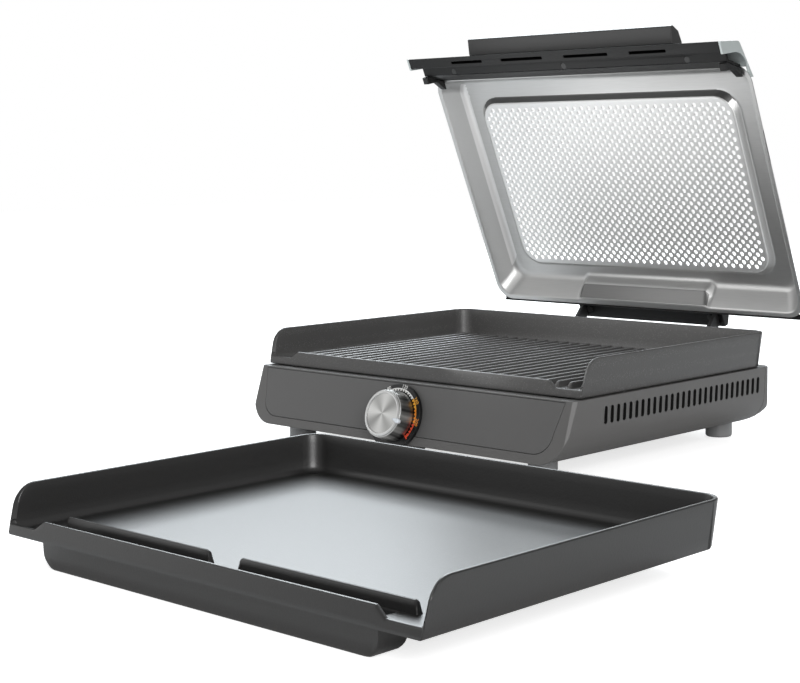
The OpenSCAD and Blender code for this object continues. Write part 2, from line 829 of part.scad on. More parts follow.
module lid_pan() {
    color("#b9b9b7") lid_place() {
        difference() {
            pan_form(sheet);
            difference() {
                pan_form(0);
                vent_form(0);
                emboss_form(0);
            }
            vent_form(sheet);
            emboss_form(sheet);
        }
        // rim turned out over the plate walls
        translate([0, 0, lid_z]) linear_extrude(sheet) difference() {
            round_plan(lid_half + flange_w, lid_front - flange_w, lid_back + flange_w,
                lid_corner_r + flange_w);
            round_plan(lid_half + sheet / 2, lid_front - sheet / 2, lid_back + sheet / 2, lid_corner_r);
        }
    }
}

module rear_trim() {
    y0 = lid_back + flange_w;
    color("#3a3a3a") lid_place() {
        translate([-lid_half + 2, y0 + 0.3, lid_z - 0.9]) cube([2 * lid_half - 4, 1.4, 4]);
        translate([-lid_half + 2, y0 - 3, lid_z + sheet + 0.2]) cube([2 * lid_half - 4, 3.5, 1.4]);
    }
}

lean_run = tan(lid_lean);

// Front face of the closed lid at height z
function lid_face(z) = trim_y + (z - trim_z) * lean_run;

shell_foot = trim_z + 15.6;                    // lower edge of the front shell
// Outer face of the pan's front wall at height z
function front_face(z) = lid_front - sheet + (z - lid_z) * (roof_front - lid_front) / (roof_z - lid_z);
shell_rise = 0.25;                             // slope of the shell's top
function shell_top(y) = ledge_z + (y - lid_face(ledge_z)) * shell_rise;

module front_shell() {
    t = 2.4;
    top_t = 1.2;
    shell_back = front_face(lid_z + 3.4) - 0.3;
    y1 = lid_face(ledge_z);
    color("#8e9192") lid_place() {
        // leaning front and gently rising top
        along_x(-half_w, half_w) polygon([
            [lid_face(shell_foot), shell_foot], [y1 - 0.6, ledge_z - 2.4], [y1 + 0.5, ledge_z - 0.6],
            [y1 + 2.4, shell_top(y1 + 2.4)], [shell_back, shell_top(shell_back)],
            [shell_back - 1, shell_top(shell_back) - top_t], [y1 + 3.6, shell_top(y1 + 3.6) - top_t - 0.4],
            [lid_face(shell_foot) + t, shell_foot]]);
        // cheeks that follow the falling ends of the plate walls
        for (s = [-1, 1]) along_x(s > 0 ? half_w - t : -half_w, s > 0 ? half_w : -half_w + t) cheek_view();
    }
}

cheek_gap = 1.2;                               // space between a cheek and the plate wall's end
cheek_back = lid_front + 11;

// Side view of a cheek, as (y, z)
module cheek_view() {
    y1 = lid_face(ledge_z);
    c = [end_y, plate_z + end_rise];
    r = wall_end_r + cheek_gap;
    slot_y = lid_front - flange_w - 0.8;
    low = c + r * [-cos(wall_end_lean), sin(wall_end_lean)];
    polygon(concat(
        [[lid_face(trim_z), trim_z], [lid_face(shell_foot), shell_foot],
         [y1 - 0.6, ledge_z - 2.4], [y1 + 0.5, ledge_z - 0.6],
         [y1 + 2.4, shell_top(y1 + 2.4)], [cheek_back, shell_top(cheek_back)],
         [cheek_back - 1.6, lid_z + sheet + 0.3], [slot_y, lid_z + sheet + 0.3]],
        arc(c, r, 90 + asin((end_y - slot_y) / r), 180 - wall_end_lean, 12),
        [[low[0] - (low[1] - trim_z) * tan(wall_end_lean), trim_z]]));
}

band_w = 10.6;                                 // width of the slotted band under the lid front
recess_w = 13;                                 // width of the recess behind it
recess_z = plate_z + lip_h + 0.7;              // roof of the recess, just over the plate lip
lip_end = lid_front - 2;                       // rear edge of the trim, under the pan's rim

// Channel under the lid front, as (y, z)
module trim_view() {
    t = 2.4;
    y1 = trim_y + band_w;
    y2 = y1 + recess_w;
    polygon([
        [lid_face(trim_z), trim_z], [y1, trim_z], [y1, recess_z], [y2, recess_z],
        [lip_end, lid_z - 2], [lip_end, lid_z - 0.3], [lip_end - 2.2, lid_z - 0.3],
        [y2 - 1.2, recess_z + t], [y1 - t, recess_z + t], [y1 - t, trim_z + t],
        [lid_face(trim_z + t) + t, trim_z + t], [lid_face(shell_foot - 0.3) + t, shell_foot - 0.3],
        [lid_face(shell_foot - 0.3), shell_foot - 0.3]]);
}

slot_xs = [-110, -39, 39, 110];
slot_ws = [40.5, 51.5, 51.5, 40.5];
trim_half = half_w - 2.6;
trim_screw_x = trim_half - 45.4;
wall_gap_x = plate_half - plate_t - 0.6;       // half width that passes between the plate walls

module front_trim() {
    color("#3c3c3b") lid_place() difference() {
        along_x(-trim_half, trim_half) trim_view();
        for (i = [0 : 3])
            translate([slot_xs[i] - slot_ws[i] / 2, trim_y + 5, trim_z - 1]) cube([slot_ws[i], 2.6, 6]);
        trim_screw_places() {
            cylinder(r = 1.6, h = 12, center = true);
            translate([0, 0, -1]) cylinder(r = 3.1, h = 2.3);
        }
        // clear of the plate walls behind the band
        for (s = [-1, 1]) translate([s > 0 ? wall_gap_x : -wall_gap_x - 20, trim_y + band_w, trim_z - 1])
            cube([20, 60, 60]);
    }
}

module trim_screw_places() {
    for (s = [-1 : 1]) translate([s * trim_screw_x, trim_y + band_w + recess_w - 3.4, recess_z]) children();
}

module trim_screws() {
    color("#4a4a4a") lid_place() trim_screw_places() {
        translate([0, 0, 0.1]) cylinder(r = 3, h = 1.2);
        translate([0, 0, 1]) cylinder(r = 1.5, h = 4.8);
    }
}

// Side view of the seals that close the plate's front corners, as (y, z)
module seal_view() {
    y2 = trim_y + band_w + recess_w;
    polygon([
        [y2 + 0.3, recess_z - 4.4], [y2 + 7.2, recess_z - 4.4], [y2 + 8.4, recess_z + 1],
        [y2 + 10, lid_z - 11],
        [lip_end + 4, lid_z - 6], [lip_end + 9.5, lid_z - 1.8], [lip_end + 9.5, lid_z - 0.3],
        [lip_end + 0.3, lid_z - 0.3], [lip_end + 0.3, lid_z - 2.3], [y2 + 0.3, recess_z - 0.4]]);
}

module corner_seals() {
    color("#151515") lid_place() for (s = [-1, 1])
        along_x(s > 0 ? wall_gap_x - 6.5 : -wall_gap_x, s > 0 ? wall_gap_x : -wall_gap_x + 6.5) seal_view();
}

grip_half = 124;

// Bar that the hand holds, as (y, z)
module grip_view() {
    y1 = lid_face(ledge_z);
    z0 = ledge_z - 7.6;
    polygon([[lid_face(z0) - 0.05, z0], [lid_face(z0) - 15.8, z0 + 4.4], [lid_face(z0) - 15.4, z0 + 8],
             [y1 - 10.4, ledge_z + 6.6], [y1 + 1.6, ledge_z + 8], [y1 + 9, shell_top(y1 + 9) + 0.05],
             [y1 + 2.4, shell_top(y1 + 2.4) + 0.05], [y1 + 0.5, ledge_z - 0.5], [y1 - 0.65, ledge_z - 2.4]]);
}

module grip() {
    color("#4a4a49") lid_place() along_x(-grip_half, grip_half) grip_view();
}

// ---- Hinge ----

cover_half = 90.5;

module hinge_block() {
    color("#3a3a39") difference() {
        union() {
            translate([-arm_x + 2, base_back, hinge_z - 14]) cube([2 * arm_x - 4, hinge_y - base_back, 20]);
            translate([-arm_x + 2, hinge_y, hinge_z]) rotate([0, 90, 0]) cylinder(r = 9, h = 2 * arm_x - 4);
        }
        translate([-arm_x, hinge_y, hinge_z]) rotate([0, 90, 0]) cylinder(r = pin_r, h = 2 * arm_x);
        translate([-arm_x + 8, base_back + 6, hinge_z - 15])
            cube([2 * arm_x - 16, hinge_y - base_back - 18, 16]);
    }
}

module hinge_pins() {
    color("silver") for (s = [-1, 1]) {
        translate([s > 0 ? arm_x - 19 : -arm_x - arm_t - 3, hinge_y, hinge_z]) rotate([0, 90, 0])
            cylinder(r = pin_r, h = 22 + arm_t);
        translate([s > 0 ? arm_x + arm_t + 2.4 : -arm_x - arm_t - 4.4, hinge_y, hinge_z]) rotate([0, 90, 0])
            cylinder(r = pin_r + 3, h = 2);
    }
}

module hinge_washers() {
    color("#8a8c8e") for (s = [-1, 1])
        translate([s * (arm_x - 1) - 0.7, hinge_y, hinge_z]) rotate([0, 90, 0]) difference() {
            cylinder(r = 8, h = 1.4);
            translate([0, 0, -1]) cylinder(r = pin_r + 0.1, h = 4);
        }
}

module hinge_screw_places() {
    for (x = [-60, 60]) translate([x, base_back - wall / 2, hinge_z - 6]) rotate([-90, 0, 0]) children();
}

module hinge_screws() {
    color("silver") hinge_screw_places() {
        translate([0, 0, -wall / 2 - 2]) cylinder(r = 4, h = 1.9);
        translate([0, 0, -wall / 2 - 0.2]) cylinder(r = 2, h = wall + 0.1);
    }
}

block_z = lid_z + 8;                          // foot of the hinge cover on the closed lid

// Outer face of the lid's rear wall at height z
function rear_face(z) = lid_back + sheet - (z - lid_z) * (lid_back - roof_back) / (roof_z - lid_z);

module hinge_cover() {
    color("#2f2f2e") lid_place() along_x(-cover_half, cover_half) polygon([
        [rear_face(block_z) + 0.6, block_z], [lid_back + 25, block_z], [lid_back + 26, block_z + 6],
        [lid_back + 14, block_z + 14], [rear_face(block_z + 14) + 0.6, block_z + 14]]);
}

module hinge_arms() {
    color("#2c2c2c") lid_place() for (s = [-1, 1])
        along_x(s > 0 ? arm_x : -arm_x - arm_t, s > 0 ? arm_x + arm_t : -arm_x) difference() {
            union() {
                translate([hinge_y, hinge_z]) circle(r = 11);
                polygon([[hinge_y - 10, hinge_z + 4], [hinge_y + 10, hinge_z + 4],
                         [lid_back + 22, block_z], [lid_back + 8, block_z]]);
            }
            translate([hinge_y, hinge_z]) circle(r = bush_r);
        }
}

bush_r = pin_r + 1.6;

module hinge_bushes() {
    color("#c9b37a") lid_place() for (s = [-1, 1])
        translate([s > 0 ? arm_x : -arm_x - arm_t, hinge_y, hinge_z]) rotate([0, 90, 0]) difference() {
            cylinder(r = bush_r, h = arm_t);
            translate([0, 0, -1]) cylinder(r = pin_r + run_gap, h = arm_t + 2);
        }
}

module arm_screws() {
    color("silver") lid_place() for (s = [-1, 1])
        translate([s * (arm_x - 5), lid_back + 15, block_z - 1.4]) cylinder(r = 3.4, h = 1.4);
}

housing_shell();
front_panel();
rear_cover();
bottom_cover();
feet();
foot_screws();
bottom_screws();
rear_screws();
top_deck();
plate_rests();
reflector_tray();
heating_element();
element_clamps();
element_insulators();
thermostat();
thermostat_nut();
sensor_bulb();
sensor_clips();
thermal_fuse();
terminal_block();
lead_wires();
cord_gland();
dial_ring();
hinge_block();
hinge_pins();
hinge_washers();
hinge_screws();
knob_spindle();
knob_skirt();
knob_cap();
knob_pointer();
knob_clip();
grill_plate();
griddle_plate();
lid_pan();
rear_trim();
front_shell();
front_trim();
corner_seals();
grip();
trim_screws();
hinge_cover();
hinge_arms();
hinge_bushes();
arm_screws();
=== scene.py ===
# %% [markdown]
# # Dressing an electric indoor grill
#
# This lesson takes the solids of a countertop grill, as its maker drew them, and gives them
# the finish of the real object: moulded plastic, a speckled non-stick coating, a pressed and
# brushed stainless lid with more than a thousand small holes, and a turned metal knob on a
# printed dial. Everything is in metres, with the origin on the table midway between the four
# feet. The solids stay where they are. A new surface either takes the place of one or is laid
# on it.

# %% Load the fixed frame
import json
import math

import bmesh
import bpy
import numpy as np
from mathutils import Matrix
from mathutils.geometry import delaunay_2d_cdt

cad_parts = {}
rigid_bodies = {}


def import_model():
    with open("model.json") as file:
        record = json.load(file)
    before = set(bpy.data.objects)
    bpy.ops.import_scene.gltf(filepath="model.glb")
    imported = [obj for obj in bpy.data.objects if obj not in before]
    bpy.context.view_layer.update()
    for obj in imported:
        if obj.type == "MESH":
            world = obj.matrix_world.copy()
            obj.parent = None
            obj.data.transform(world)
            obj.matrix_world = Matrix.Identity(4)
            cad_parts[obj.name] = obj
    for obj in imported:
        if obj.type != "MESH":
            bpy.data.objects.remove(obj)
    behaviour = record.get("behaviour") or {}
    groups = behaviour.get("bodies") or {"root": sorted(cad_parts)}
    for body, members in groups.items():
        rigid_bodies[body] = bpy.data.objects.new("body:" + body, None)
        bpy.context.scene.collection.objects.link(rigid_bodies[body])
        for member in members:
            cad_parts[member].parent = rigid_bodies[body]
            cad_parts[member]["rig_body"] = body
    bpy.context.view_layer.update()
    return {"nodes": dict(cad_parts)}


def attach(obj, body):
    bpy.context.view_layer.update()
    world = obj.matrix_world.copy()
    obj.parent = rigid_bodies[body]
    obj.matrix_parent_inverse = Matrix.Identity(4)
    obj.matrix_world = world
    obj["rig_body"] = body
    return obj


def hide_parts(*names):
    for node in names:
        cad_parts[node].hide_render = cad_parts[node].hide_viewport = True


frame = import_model()

# %% [markdown]
# ## Where things are
#
# Three places are used again and again. The lid is drawn closed and then turned open about its
# hinge, the fascia leans back, and the knob sits on the fascia. Writing each as a function of an
# array of points means that a shape can be worked out flat and simple, in millimetres, and put
# in its place at the end.

# %% Places, in millimetres
MM = 0.001
HINGE = np.array([0.0, 182.0, 56.0])
LID_TURN = math.radians(-66)
GRIDDLE = np.array([250.0, -450.0, 18.0])
GRILL = np.array([0.0, 0.0, 68.3])
LEAN = math.radians(18)
KNOB_ACROSS = np.array([1.0, 0.0, 0.0])
KNOB_UP = np.array([0.0, math.sin(LEAN), math.cos(LEAN)])
KNOB_OUT = np.array([0.0, -math.cos(LEAN), math.sin(LEAN)])
FASCIA_TOP = np.array([0.0, -142.0, 67.5])
KNOB_START = FASCIA_TOP - 32 * KNOB_UP


def open_lid(points):
    """Turns points of the closed lid about the hinge line to where the lid stands open."""
    y, z = points[:, 1] - HINGE[1], points[:, 2] - HINGE[2]
    c, s = math.cos(LID_TURN), math.sin(LID_TURN)
    return np.column_stack([points[:, 0], HINGE[1] + c * y - s * z, HINGE[2] + s * y + c * z])


def on_knob(points):
    """Carries points from the knob's own frame, z along its axis from the fascia, to the base."""
    across, up, out = points[:, :1], points[:, 1:2], points[:, 2:]
    return KNOB_START + across * KNOB_ACROSS + up * KNOB_UP + out * KNOB_OUT


def moved(by):
    """A place that only shifts points by a vector."""
    return lambda points: points + by


print("knob centre:", np.round(KNOB_START, 1))

# %% [markdown]
# ## Making a mesh from arrays
#
# A surface here is a grid of points, row by row, and its faces follow from the size of the grid
# alone. Points and faces together are called a block. A piece is made of one or more blocks, which
# are merged where their edges meet, and the normals are made to point outwards once, when the
# mesh is closed.


# %% Blocks of points and faces
def grid_quads(rows, cols, wrap=False):
    """Faces of a grid: each joins a point to its right, upper right and upper neighbours."""
    r, c = np.meshgrid(np.arange(rows - 1), np.arange(cols if wrap else cols - 1), indexing="ij")
    a = r * cols + c
    b = r * cols + (c + 1) % cols
    return np.stack([a, b, b + cols, a + cols], -1).reshape(-1, 4)


def grid_block(grid, wrap=False, flip=False):
    """A block from a grid of points, its faces turned over where flip is set."""
    quads = grid_quads(*grid.shape[:2], wrap)
    return grid.reshape(-1, 3), quads[:, ::-1] if flip else quads


def lathe(profile, turns=128):
    """A block from a profile of (radius, height) turned about the z axis."""
    angle = np.linspace(0, 2 * np.pi, turns, endpoint=False)
    r, z = np.array(profile, float).T[:, :, None]
    return grid_block(np.stack([r * np.cos(angle), r * np.sin(angle), z + 0 * angle], -1), wrap=True)


def soft_corners(corners, cuts, steps=6):
    """A path through corner points, each rounded by a quadratic curve that starts one cut before it
    and ends one cut after it. Straight parts stay straight."""
    corners = np.asarray(corners, float)
    t = np.linspace(0, 1, steps + 1)[:, None]
    path = [corners[:1]]
    for before, at, after, cut in zip(corners[:-2], corners[1:-1], corners[2:], cuts):
        a = at + (before - at) * cut / np.linalg.norm(before - at)
        b = at + (after - at) * cut / np.linalg.norm(after - at)
        path.append((1 - t) ** 2 * a + 2 * t * (1 - t) * at + t**2 * b)
    return np.concatenate(path + [corners[-1:]])


print("a cylinder in 8 steps has", len(lathe([(1, 0), (1, 1)], 8)[1]), "faces")


# %% From blocks to a piece
def new_object(name, data):
    """An object for a mesh, a camera, a lamp or a curve, linked to the scene."""
    made = bpy.data.objects.new(name, data)
    bpy.context.scene.collection.objects.link(made)
    return made


def merge_mesh(mesh, distance=2e-6):
    """Joins points closer than the distance in metres, and turns a closed mesh's faces outwards."""
    bm = bmesh.new()
    bm.from_mesh(mesh)
    bmesh.ops.remove_doubles(bm, verts=bm.verts, dist=distance)
    bmesh.ops.dissolve_degenerate(bm, dist=1e-7, edges=bm.edges)
    loose = [v for v in bm.verts if not v.link_faces]
    bmesh.ops.delete(bm, geom=loose, context="VERTS")
    bmesh.ops.recalc_face_normals(bm, faces=bm.faces)
    open_edges = sum(1 for e in bm.edges if not e.is_manifold)
    bm.to_mesh(mesh)
    bm.free()
    return open_edges


def make_piece(name, blocks, place, body, materials, replaces=None, smooth=30):
    """A piece from blocks in millimetres, carried to its place. A block is its points and then
    one or more arrays of faces, and edges sharper than smooth degrees stay sharp."""
    points, faces, start = [], [], 0
    for corners, *face_sets in blocks:
        faces += [face for part in face_sets for face in (part + start).tolist()]
        points.append(corners)
        start += len(corners)
    mesh = bpy.data.meshes.new(name)
    mesh.from_pydata((place(np.concatenate(points)) * MM).tolist(), [], faces)
    open_edges = merge_mesh(mesh)
    mesh.shade_smooth()
    mesh.set_sharp_from_angle(angle=math.radians(smooth))
    piece = new_object(name, mesh)
    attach(piece, body)
    if replaces:
        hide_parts(replaces)
    for material in materials:
        mesh.materials.append(material)
    print(f"{name}: {len(mesh.vertices)} points, {len(mesh.polygons)} faces, {open_edges} open edges")
    return piece


def mesh_points(mesh):
    """The places of a mesh's vertices in metres, one row each."""
    coords = np.zeros(len(mesh.vertices) * 3)
    mesh.vertices.foreach_get("co", coords)
    return coords.reshape(-1, 3)


def write_map(mesh, name, plane):
    """Writes a UV map from one row of (u, v) for each vertex."""
    corner = np.zeros(len(mesh.loops), int)
    mesh.loops.foreach_get("vertex_index", corner)
    mesh.uv_layers.new(name=name).data.foreach_set("uv", plane[corner].ravel())


def face_arrays(mesh):
    """Centres in millimetres and unit normals of a mesh's faces, one row each."""
    centre, normal = np.zeros((2, len(mesh.polygons) * 3))
    mesh.polygons.foreach_get("center", centre)
    mesh.polygons.foreach_get("normal", normal)
    return centre.reshape(-1, 3) / MM, normal.reshape(-1, 3)


def between(values, low, high):
    """Which values lie between two limits."""
    return (values > low) & (values < high)


print("of 0 to 9, between 3 and 7 lie", np.arange(10)[between(np.arange(10), 3, 7)])

# %% [markdown]
# ## The camera
#
# A long lens a little above the table looks at the open lid and down along the base from its
# front right corner. The lens is shifted rather than turned, so upright edges keep their lean.


# %% Camera
def standing(side, above, back, at):
    """The matrix of a camera or a lamp at a place, from the directions of its own three axes."""
    return Matrix.Translation(at) @ Matrix(np.column_stack([side, above, back]).tolist()).to_4x4()


AZIMUTH, ELEVATION, ROLL = math.radians(42.254), math.radians(5.597), math.radians(-0.4227)
CAMERA_AT = (1.01616, -1.18823, 0.26638)
look = np.array([-math.sin(AZIMUTH) * math.cos(ELEVATION), math.cos(AZIMUTH) * math.cos(ELEVATION),
                 -math.sin(ELEVATION)])
level = np.array([math.cos(AZIMUTH), math.sin(AZIMUTH), 0.0])
rise = np.cross(level, look)
right = math.cos(ROLL) * level + math.sin(ROLL) * rise
above = -math.sin(ROLL) * level + math.cos(ROLL) * rise
camera = new_object("camera", bpy.data.cameras.new("camera"))
camera.matrix_world = standing(right, above, -look, CAMERA_AT)
camera.data.lens = 75.6
camera.data.shift_x = -0.075
camera.data.shift_y = -0.03
camera.data.clip_start = 0.05
camera.data.clip_end = 50
bpy.context.scene.camera = camera
print("camera at", [round(c, 3) for c in camera.location], "lens", camera.data.lens)

# %% [markdown]
# ## Nodes, the table and the sky
#
# A material is a net of nodes. Four small helpers keep the net readable: one fills an input with a
# plain value or with another node's output, and the others add a node, a sum and a mix of two
# colours. A pale table and a white sky keep attention on the object. Both are brighter to the
# camera's own rays only, so they read as white while the table still takes the grill's shadow.


# %% Helpers for nodes
def fill(tree, socket, value):
    """Links another node's output to an input, or sets the input to a plain value."""
    if isinstance(value, bpy.types.NodeSocket):
        tree.links.new(value, socket)
    else:
        socket.default_value = value


def shader_node(tree, kind, **values):
    """Adds a node and fills its properties and inputs, named with an underscore for each space."""
    made = tree.nodes.new(kind)
    for key, value in values.items():
        if hasattr(made, key):
            setattr(made, key, value)
        else:
            fill(tree, made.inputs[key.replace("_", " ")], value)
    return made


def maths(tree, operation, *values, kind="ShaderNodeMath"):
    """The output of a Math node with its inputs filled in order."""
    made = shader_node(tree, kind, operation=operation)
    for socket, value in zip(made.inputs, values):
        fill(tree, socket, value)
    return made.outputs[0]


def mixed_colour(tree, factor, first, second, blend="MIX"):
    """The output of a Mix node for colours, whose colour sockets are those of type RGBA."""
    made = shader_node(tree, "ShaderNodeMix", data_type="RGBA", blend_type=blend, Factor=factor)
    for socket, value in zip([s for s in made.inputs if s.type == "RGBA"], (first, second)):
        fill(tree, socket, value)
    return [s for s in made.outputs if s.type == "RGBA"][0]


print("node helpers:", [tool.__name__ for tool in (fill, shader_node, maths, mixed_colour)])

# %% Table
table_mesh = bpy.data.meshes.new("table")
table_mesh.from_pydata([(-6, -6, 0), (6, -6, 0), (6, 6, 0), (-6, 6, 0)], [], [(0, 1, 2, 3)])
table = new_object("table", table_mesh)
pale = bpy.data.materials.new("pale table")
pale.use_nodes = True
pale_shader = pale.node_tree.nodes["Principled BSDF"]
seen = shader_node(pale.node_tree, "ShaderNodeLightPath").outputs["Is Camera Ray"]
for label, value in [("Base Color", (0.86, 0.86, 0.86, 1)), ("Roughness", 0.7),
                     ("Specular IOR Level", 0.1), ("Emission Color", (1, 1, 1, 1)),
                     ("Emission Strength", maths(pale.node_tree, "MULTIPLY", seen, 0.72))]:
    fill(pale.node_tree, pale_shader.inputs[label], value)
table_mesh.materials.append(pale)
print("table:", [round(c, 1) for c in table.dimensions])

# %% Sky
world = bpy.data.worlds.new("studio")
bpy.context.scene.world = world
world.use_nodes = True
sky = world.node_tree
sky.nodes.clear()
seen = shader_node(sky, "ShaderNodeLightPath").outputs["Is Camera Ray"]
strength = shader_node(sky, "ShaderNodeMapRange", Value=seen, To_Min=0.34, To_Max=1.0)
white = shader_node(sky, "ShaderNodeBackground", Color=(1, 1, 1, 1), Strength=strength.outputs[0])
shader_node(sky, "ShaderNodeOutputWorld", Surface=white.outputs[0])
bpy.context.scene.view_settings.view_transform = "Standard"
print("sky nodes:", len(sky.nodes))

# %% [markdown]
# ## Lamps
#
# Four square area lamps light the scene. The strongest stands high behind the object on the left,
# where it puts a soft sheen on the plate floors and a light line along every top edge. A wide weak
# one on the left fills the shadows, one at the right front lights the fascia and the vented side,
# and a small weak card inside the open lid lifts its lining. None of them shows to the camera.


# %% Lamps
def soft_lamp(name, place, aim, size, power, colour=(1, 1, 1)):
    """A square area lamp at a place, facing an aim point, both in metres."""
    data = bpy.data.lights.new(name, "AREA")
    data.shape = "SQUARE"
    data.size = size
    data.energy = power
    data.color = colour
    back = np.array(place, float) - np.array(aim, float)
    back /= np.linalg.norm(back)
    side = np.cross([0, 0, 1], back)
    side /= np.linalg.norm(side)
    lamp = new_object(name, data)
    lamp.matrix_world = standing(side, np.cross(back, side), back, place)
    lamp.visible_camera = False


soft_lamp("back", (-1.5, 1.5, 1.9), (0.15, -0.3, 0.02), 2.1, 94, (0.9, 0.96, 1.0))
soft_lamp("left", (-2.4, -1.5, 0.8), (0, 0, 0.15), 2.4, 12)
soft_lamp("right", (2.1, -1.6, 0.95), (0, 0, 0.1), 1.3, 40)
soft_lamp("card", (-0.06, -0.1, 0.23), (0.15, 0.2, 0.3), 0.3, 0.3)
print("lamps:", len(bpy.data.lights))

# %% [markdown]
# ## Finishes shared by several materials
#
# Most of the grill is one of three things: moulded plastic with a fine spark-eroded grain,
# a sprayed non-stick coat with tiny pale flecks, or brushed metal. Each effect is a node group
# with its own scale and strength, built once and used with other values in each material. Each
# gives a height for the bump, a tone that multiplies the colour, and a drift of the roughness.

# %% Helpers for node groups
FLOAT, VECTOR = "NodeSocketFloat", "NodeSocketVector"
RESULTS = ("Height", "Tone", "Roughness")


def new_group(name, inputs):
    """A shader node group that takes a vector and float or vector values, given as (name, kind,
    default). Returns the group and the sockets that bring its values in."""
    tree = bpy.data.node_groups.new(name, "ShaderNodeTree")
    tree.interface.new_socket("Vector", in_out="INPUT", socket_type=VECTOR)
    for label, kind, value in inputs:
        tree.interface.new_socket(label, in_out="INPUT", socket_type=kind).default_value = value
    for label in RESULTS:
        tree.interface.new_socket(label, in_out="OUTPUT", socket_type=FLOAT)
    return tree, tree.nodes.new("NodeGroupInput").outputs


def give(tree, **results):
    """Links a group's results to its output node."""
    shader_node(tree, "NodeGroupOutput", **results)
    print("group:", tree.name, "nodes:", len(tree.nodes))


print("every group gives:", RESULTS)

# %% Moulded grain: fine bumps, and a slow drift of tone over the whole moulding
grain, given = new_group("moulded grain", [("Scale", FLOAT, 2400.0), ("Drift", FLOAT, 0.06)])
fine = shader_node(grain, "ShaderNodeTexNoise", Vector=given["Vector"], Scale=given["Scale"],
                   Detail=2.0, Roughness=0.6)
slow = shader_node(grain, "ShaderNodeTexNoise", Vector=given["Vector"], Scale=14.0, Detail=3.0)
drift = maths(grain, "MULTIPLY", maths(grain, "SUBTRACT", slow.outputs["Fac"], 0.5), given["Drift"])
give(grain, Height=fine.outputs["Fac"], Tone=maths(grain, "ADD", drift, 1.0), Roughness=drift)

# %% Coating flecks: sparse pale specks in a coat, over soft orange peel
flecks, given = new_group("coating flecks", [("Scale", FLOAT, 900.0), ("Amount", FLOAT, 0.5)])
cells = shader_node(flecks, "ShaderNodeTexVoronoi", feature="F1", Vector=given["Vector"],
                    Scale=given["Scale"])
peel = shader_node(flecks, "ShaderNodeTexNoise", Vector=given["Vector"], Scale=700.0, Detail=2.0)
speck = shader_node(flecks, "ShaderNodeMapRange", Value=cells.outputs["Distance"], From_Min=0.32,
                    From_Max=0.12, To_Min=0.0, To_Max=1.0)
chance = shader_node(flecks, "ShaderNodeSeparateColor", Color=cells.outputs["Color"]).outputs[0]
chosen = maths(flecks, "GREATER_THAN", chance, 0.62)
fleck = maths(flecks, "MULTIPLY", speck.outputs[0], chosen)
paler = maths(flecks, "MULTIPLY", fleck, given["Amount"])
give(flecks, Height=peel.outputs["Fac"], Tone=maths(flecks, "ADD", paler, 1.0), Roughness=fleck)

# %% Brushed grain: long streaks along one direction, by how much each axis is stretched
brush, given = new_group("brushed grain", [
    ("Stretch", VECTOR, (0.02, 1.0, 1.0)), ("Scale", FLOAT, 1800.0), ("Strength", FLOAT, 0.12)])
pull = maths(brush, "MULTIPLY", given["Vector"], given["Stretch"], kind="ShaderNodeVectorMath")
streak = shader_node(brush, "ShaderNodeTexNoise", Vector=pull, Scale=given["Scale"], Detail=3.0,
                     Roughness=0.65)
cloud = shader_node(brush, "ShaderNodeTexNoise", Vector=given["Vector"], Scale=9.0, Detail=2.0)
centred = maths(brush, "SUBTRACT", streak.outputs["Fac"], 0.5)
darker = maths(brush, "MULTIPLY", centred, given["Strength"])
uneven = maths(brush, "MULTIPLY_ADD", cloud.outputs["Fac"], 0.12, darker)
give(brush, Height=streak.outputs["Fac"], Tone=maths(brush, "ADD", darker, 1.0), Roughness=uneven)

# %% [markdown]
# ## Materials
#
# One function places a group in a material: the tone multiplies the colour, the roughness is
# added to the finish's own, and the height goes through a bump node. Constants such as metal
# or gloss stay on the shader's sockets. The lid's sheet steel is brushed along its width, so its
# highlights are drawn out the other way, along a tangent that a UV map gives.


# %% One function for every finish
def finish(name, colour, rough, group=grain, metal=0.0, bump=0.02, spread=0.15, coat=0.0,
           coat_rough=0.2, specular=0.5, anisotropy=0.0, **values):
    """A Principled material with one shared effect. The colour is linear, or None where it is
    linked later, spread scales the roughness drift, and values are the group's own inputs."""
    made = bpy.data.materials.new(name)
    made.use_nodes = True
    tree = made.node_tree
    effect = shader_node(tree, "ShaderNodeGroup", node_tree=group)
    values["Vector"] = shader_node(tree, "ShaderNodeTexCoord").outputs["Object"]
    for key, value in values.items():
        fill(tree, effect.inputs[key], value)
    roughness = maths(tree, "MULTIPLY_ADD", effect.outputs["Roughness"], spread, rough)
    bumps = shader_node(tree, "ShaderNodeBump", Strength=bump, Distance=0.001,
                        Height=effect.outputs["Height"])
    sockets = {"Metallic": metal, "Specular IOR Level": specular, "Coat Weight": coat,
               "Coat Roughness": coat_rough, "Anisotropic": anisotropy, "Roughness": roughness,
               "Normal": bumps.outputs[0]}
    if colour:
        tone = effect.outputs["Tone"]
        sockets["Base Color"] = mixed_colour(tree, 1.0, (*colour, 1), tone, "MULTIPLY")
    for label, value in sockets.items():
        fill(tree, tree.nodes["Principled BSDF"].inputs[label], value)
    return made


def grey(level, warm=0.0):
    """A linear grey from an 8-bit level, a little warmer where warm is above zero."""
    linear = (level / 255) ** 2.2
    return (linear * (1 + warm), linear, linear * (1 - warm))


def sheet_steel(name, colour, rough, streaks, metal=0.9, anisotropy=0.5):
    """Sheet steel brushed along x, its tangent from the UV map across."""
    made = finish(name, colour, rough, group=brush, metal=metal, bump=0.05, spread=0.3,
                  anisotropy=anisotropy, Stretch=(0.03, 1.0, 1.0), Scale=1500.0, Strength=streaks)
    tree = made.node_tree
    across = shader_node(tree, "ShaderNodeTangent", direction_type="UV_MAP", uv_map="across")
    tree.links.new(across.outputs[0], tree.nodes["Principled BSDF"].inputs["Tangent"])
    return made


print("a mid grey of 128 is", np.round(grey(128), 3), "in linear light")

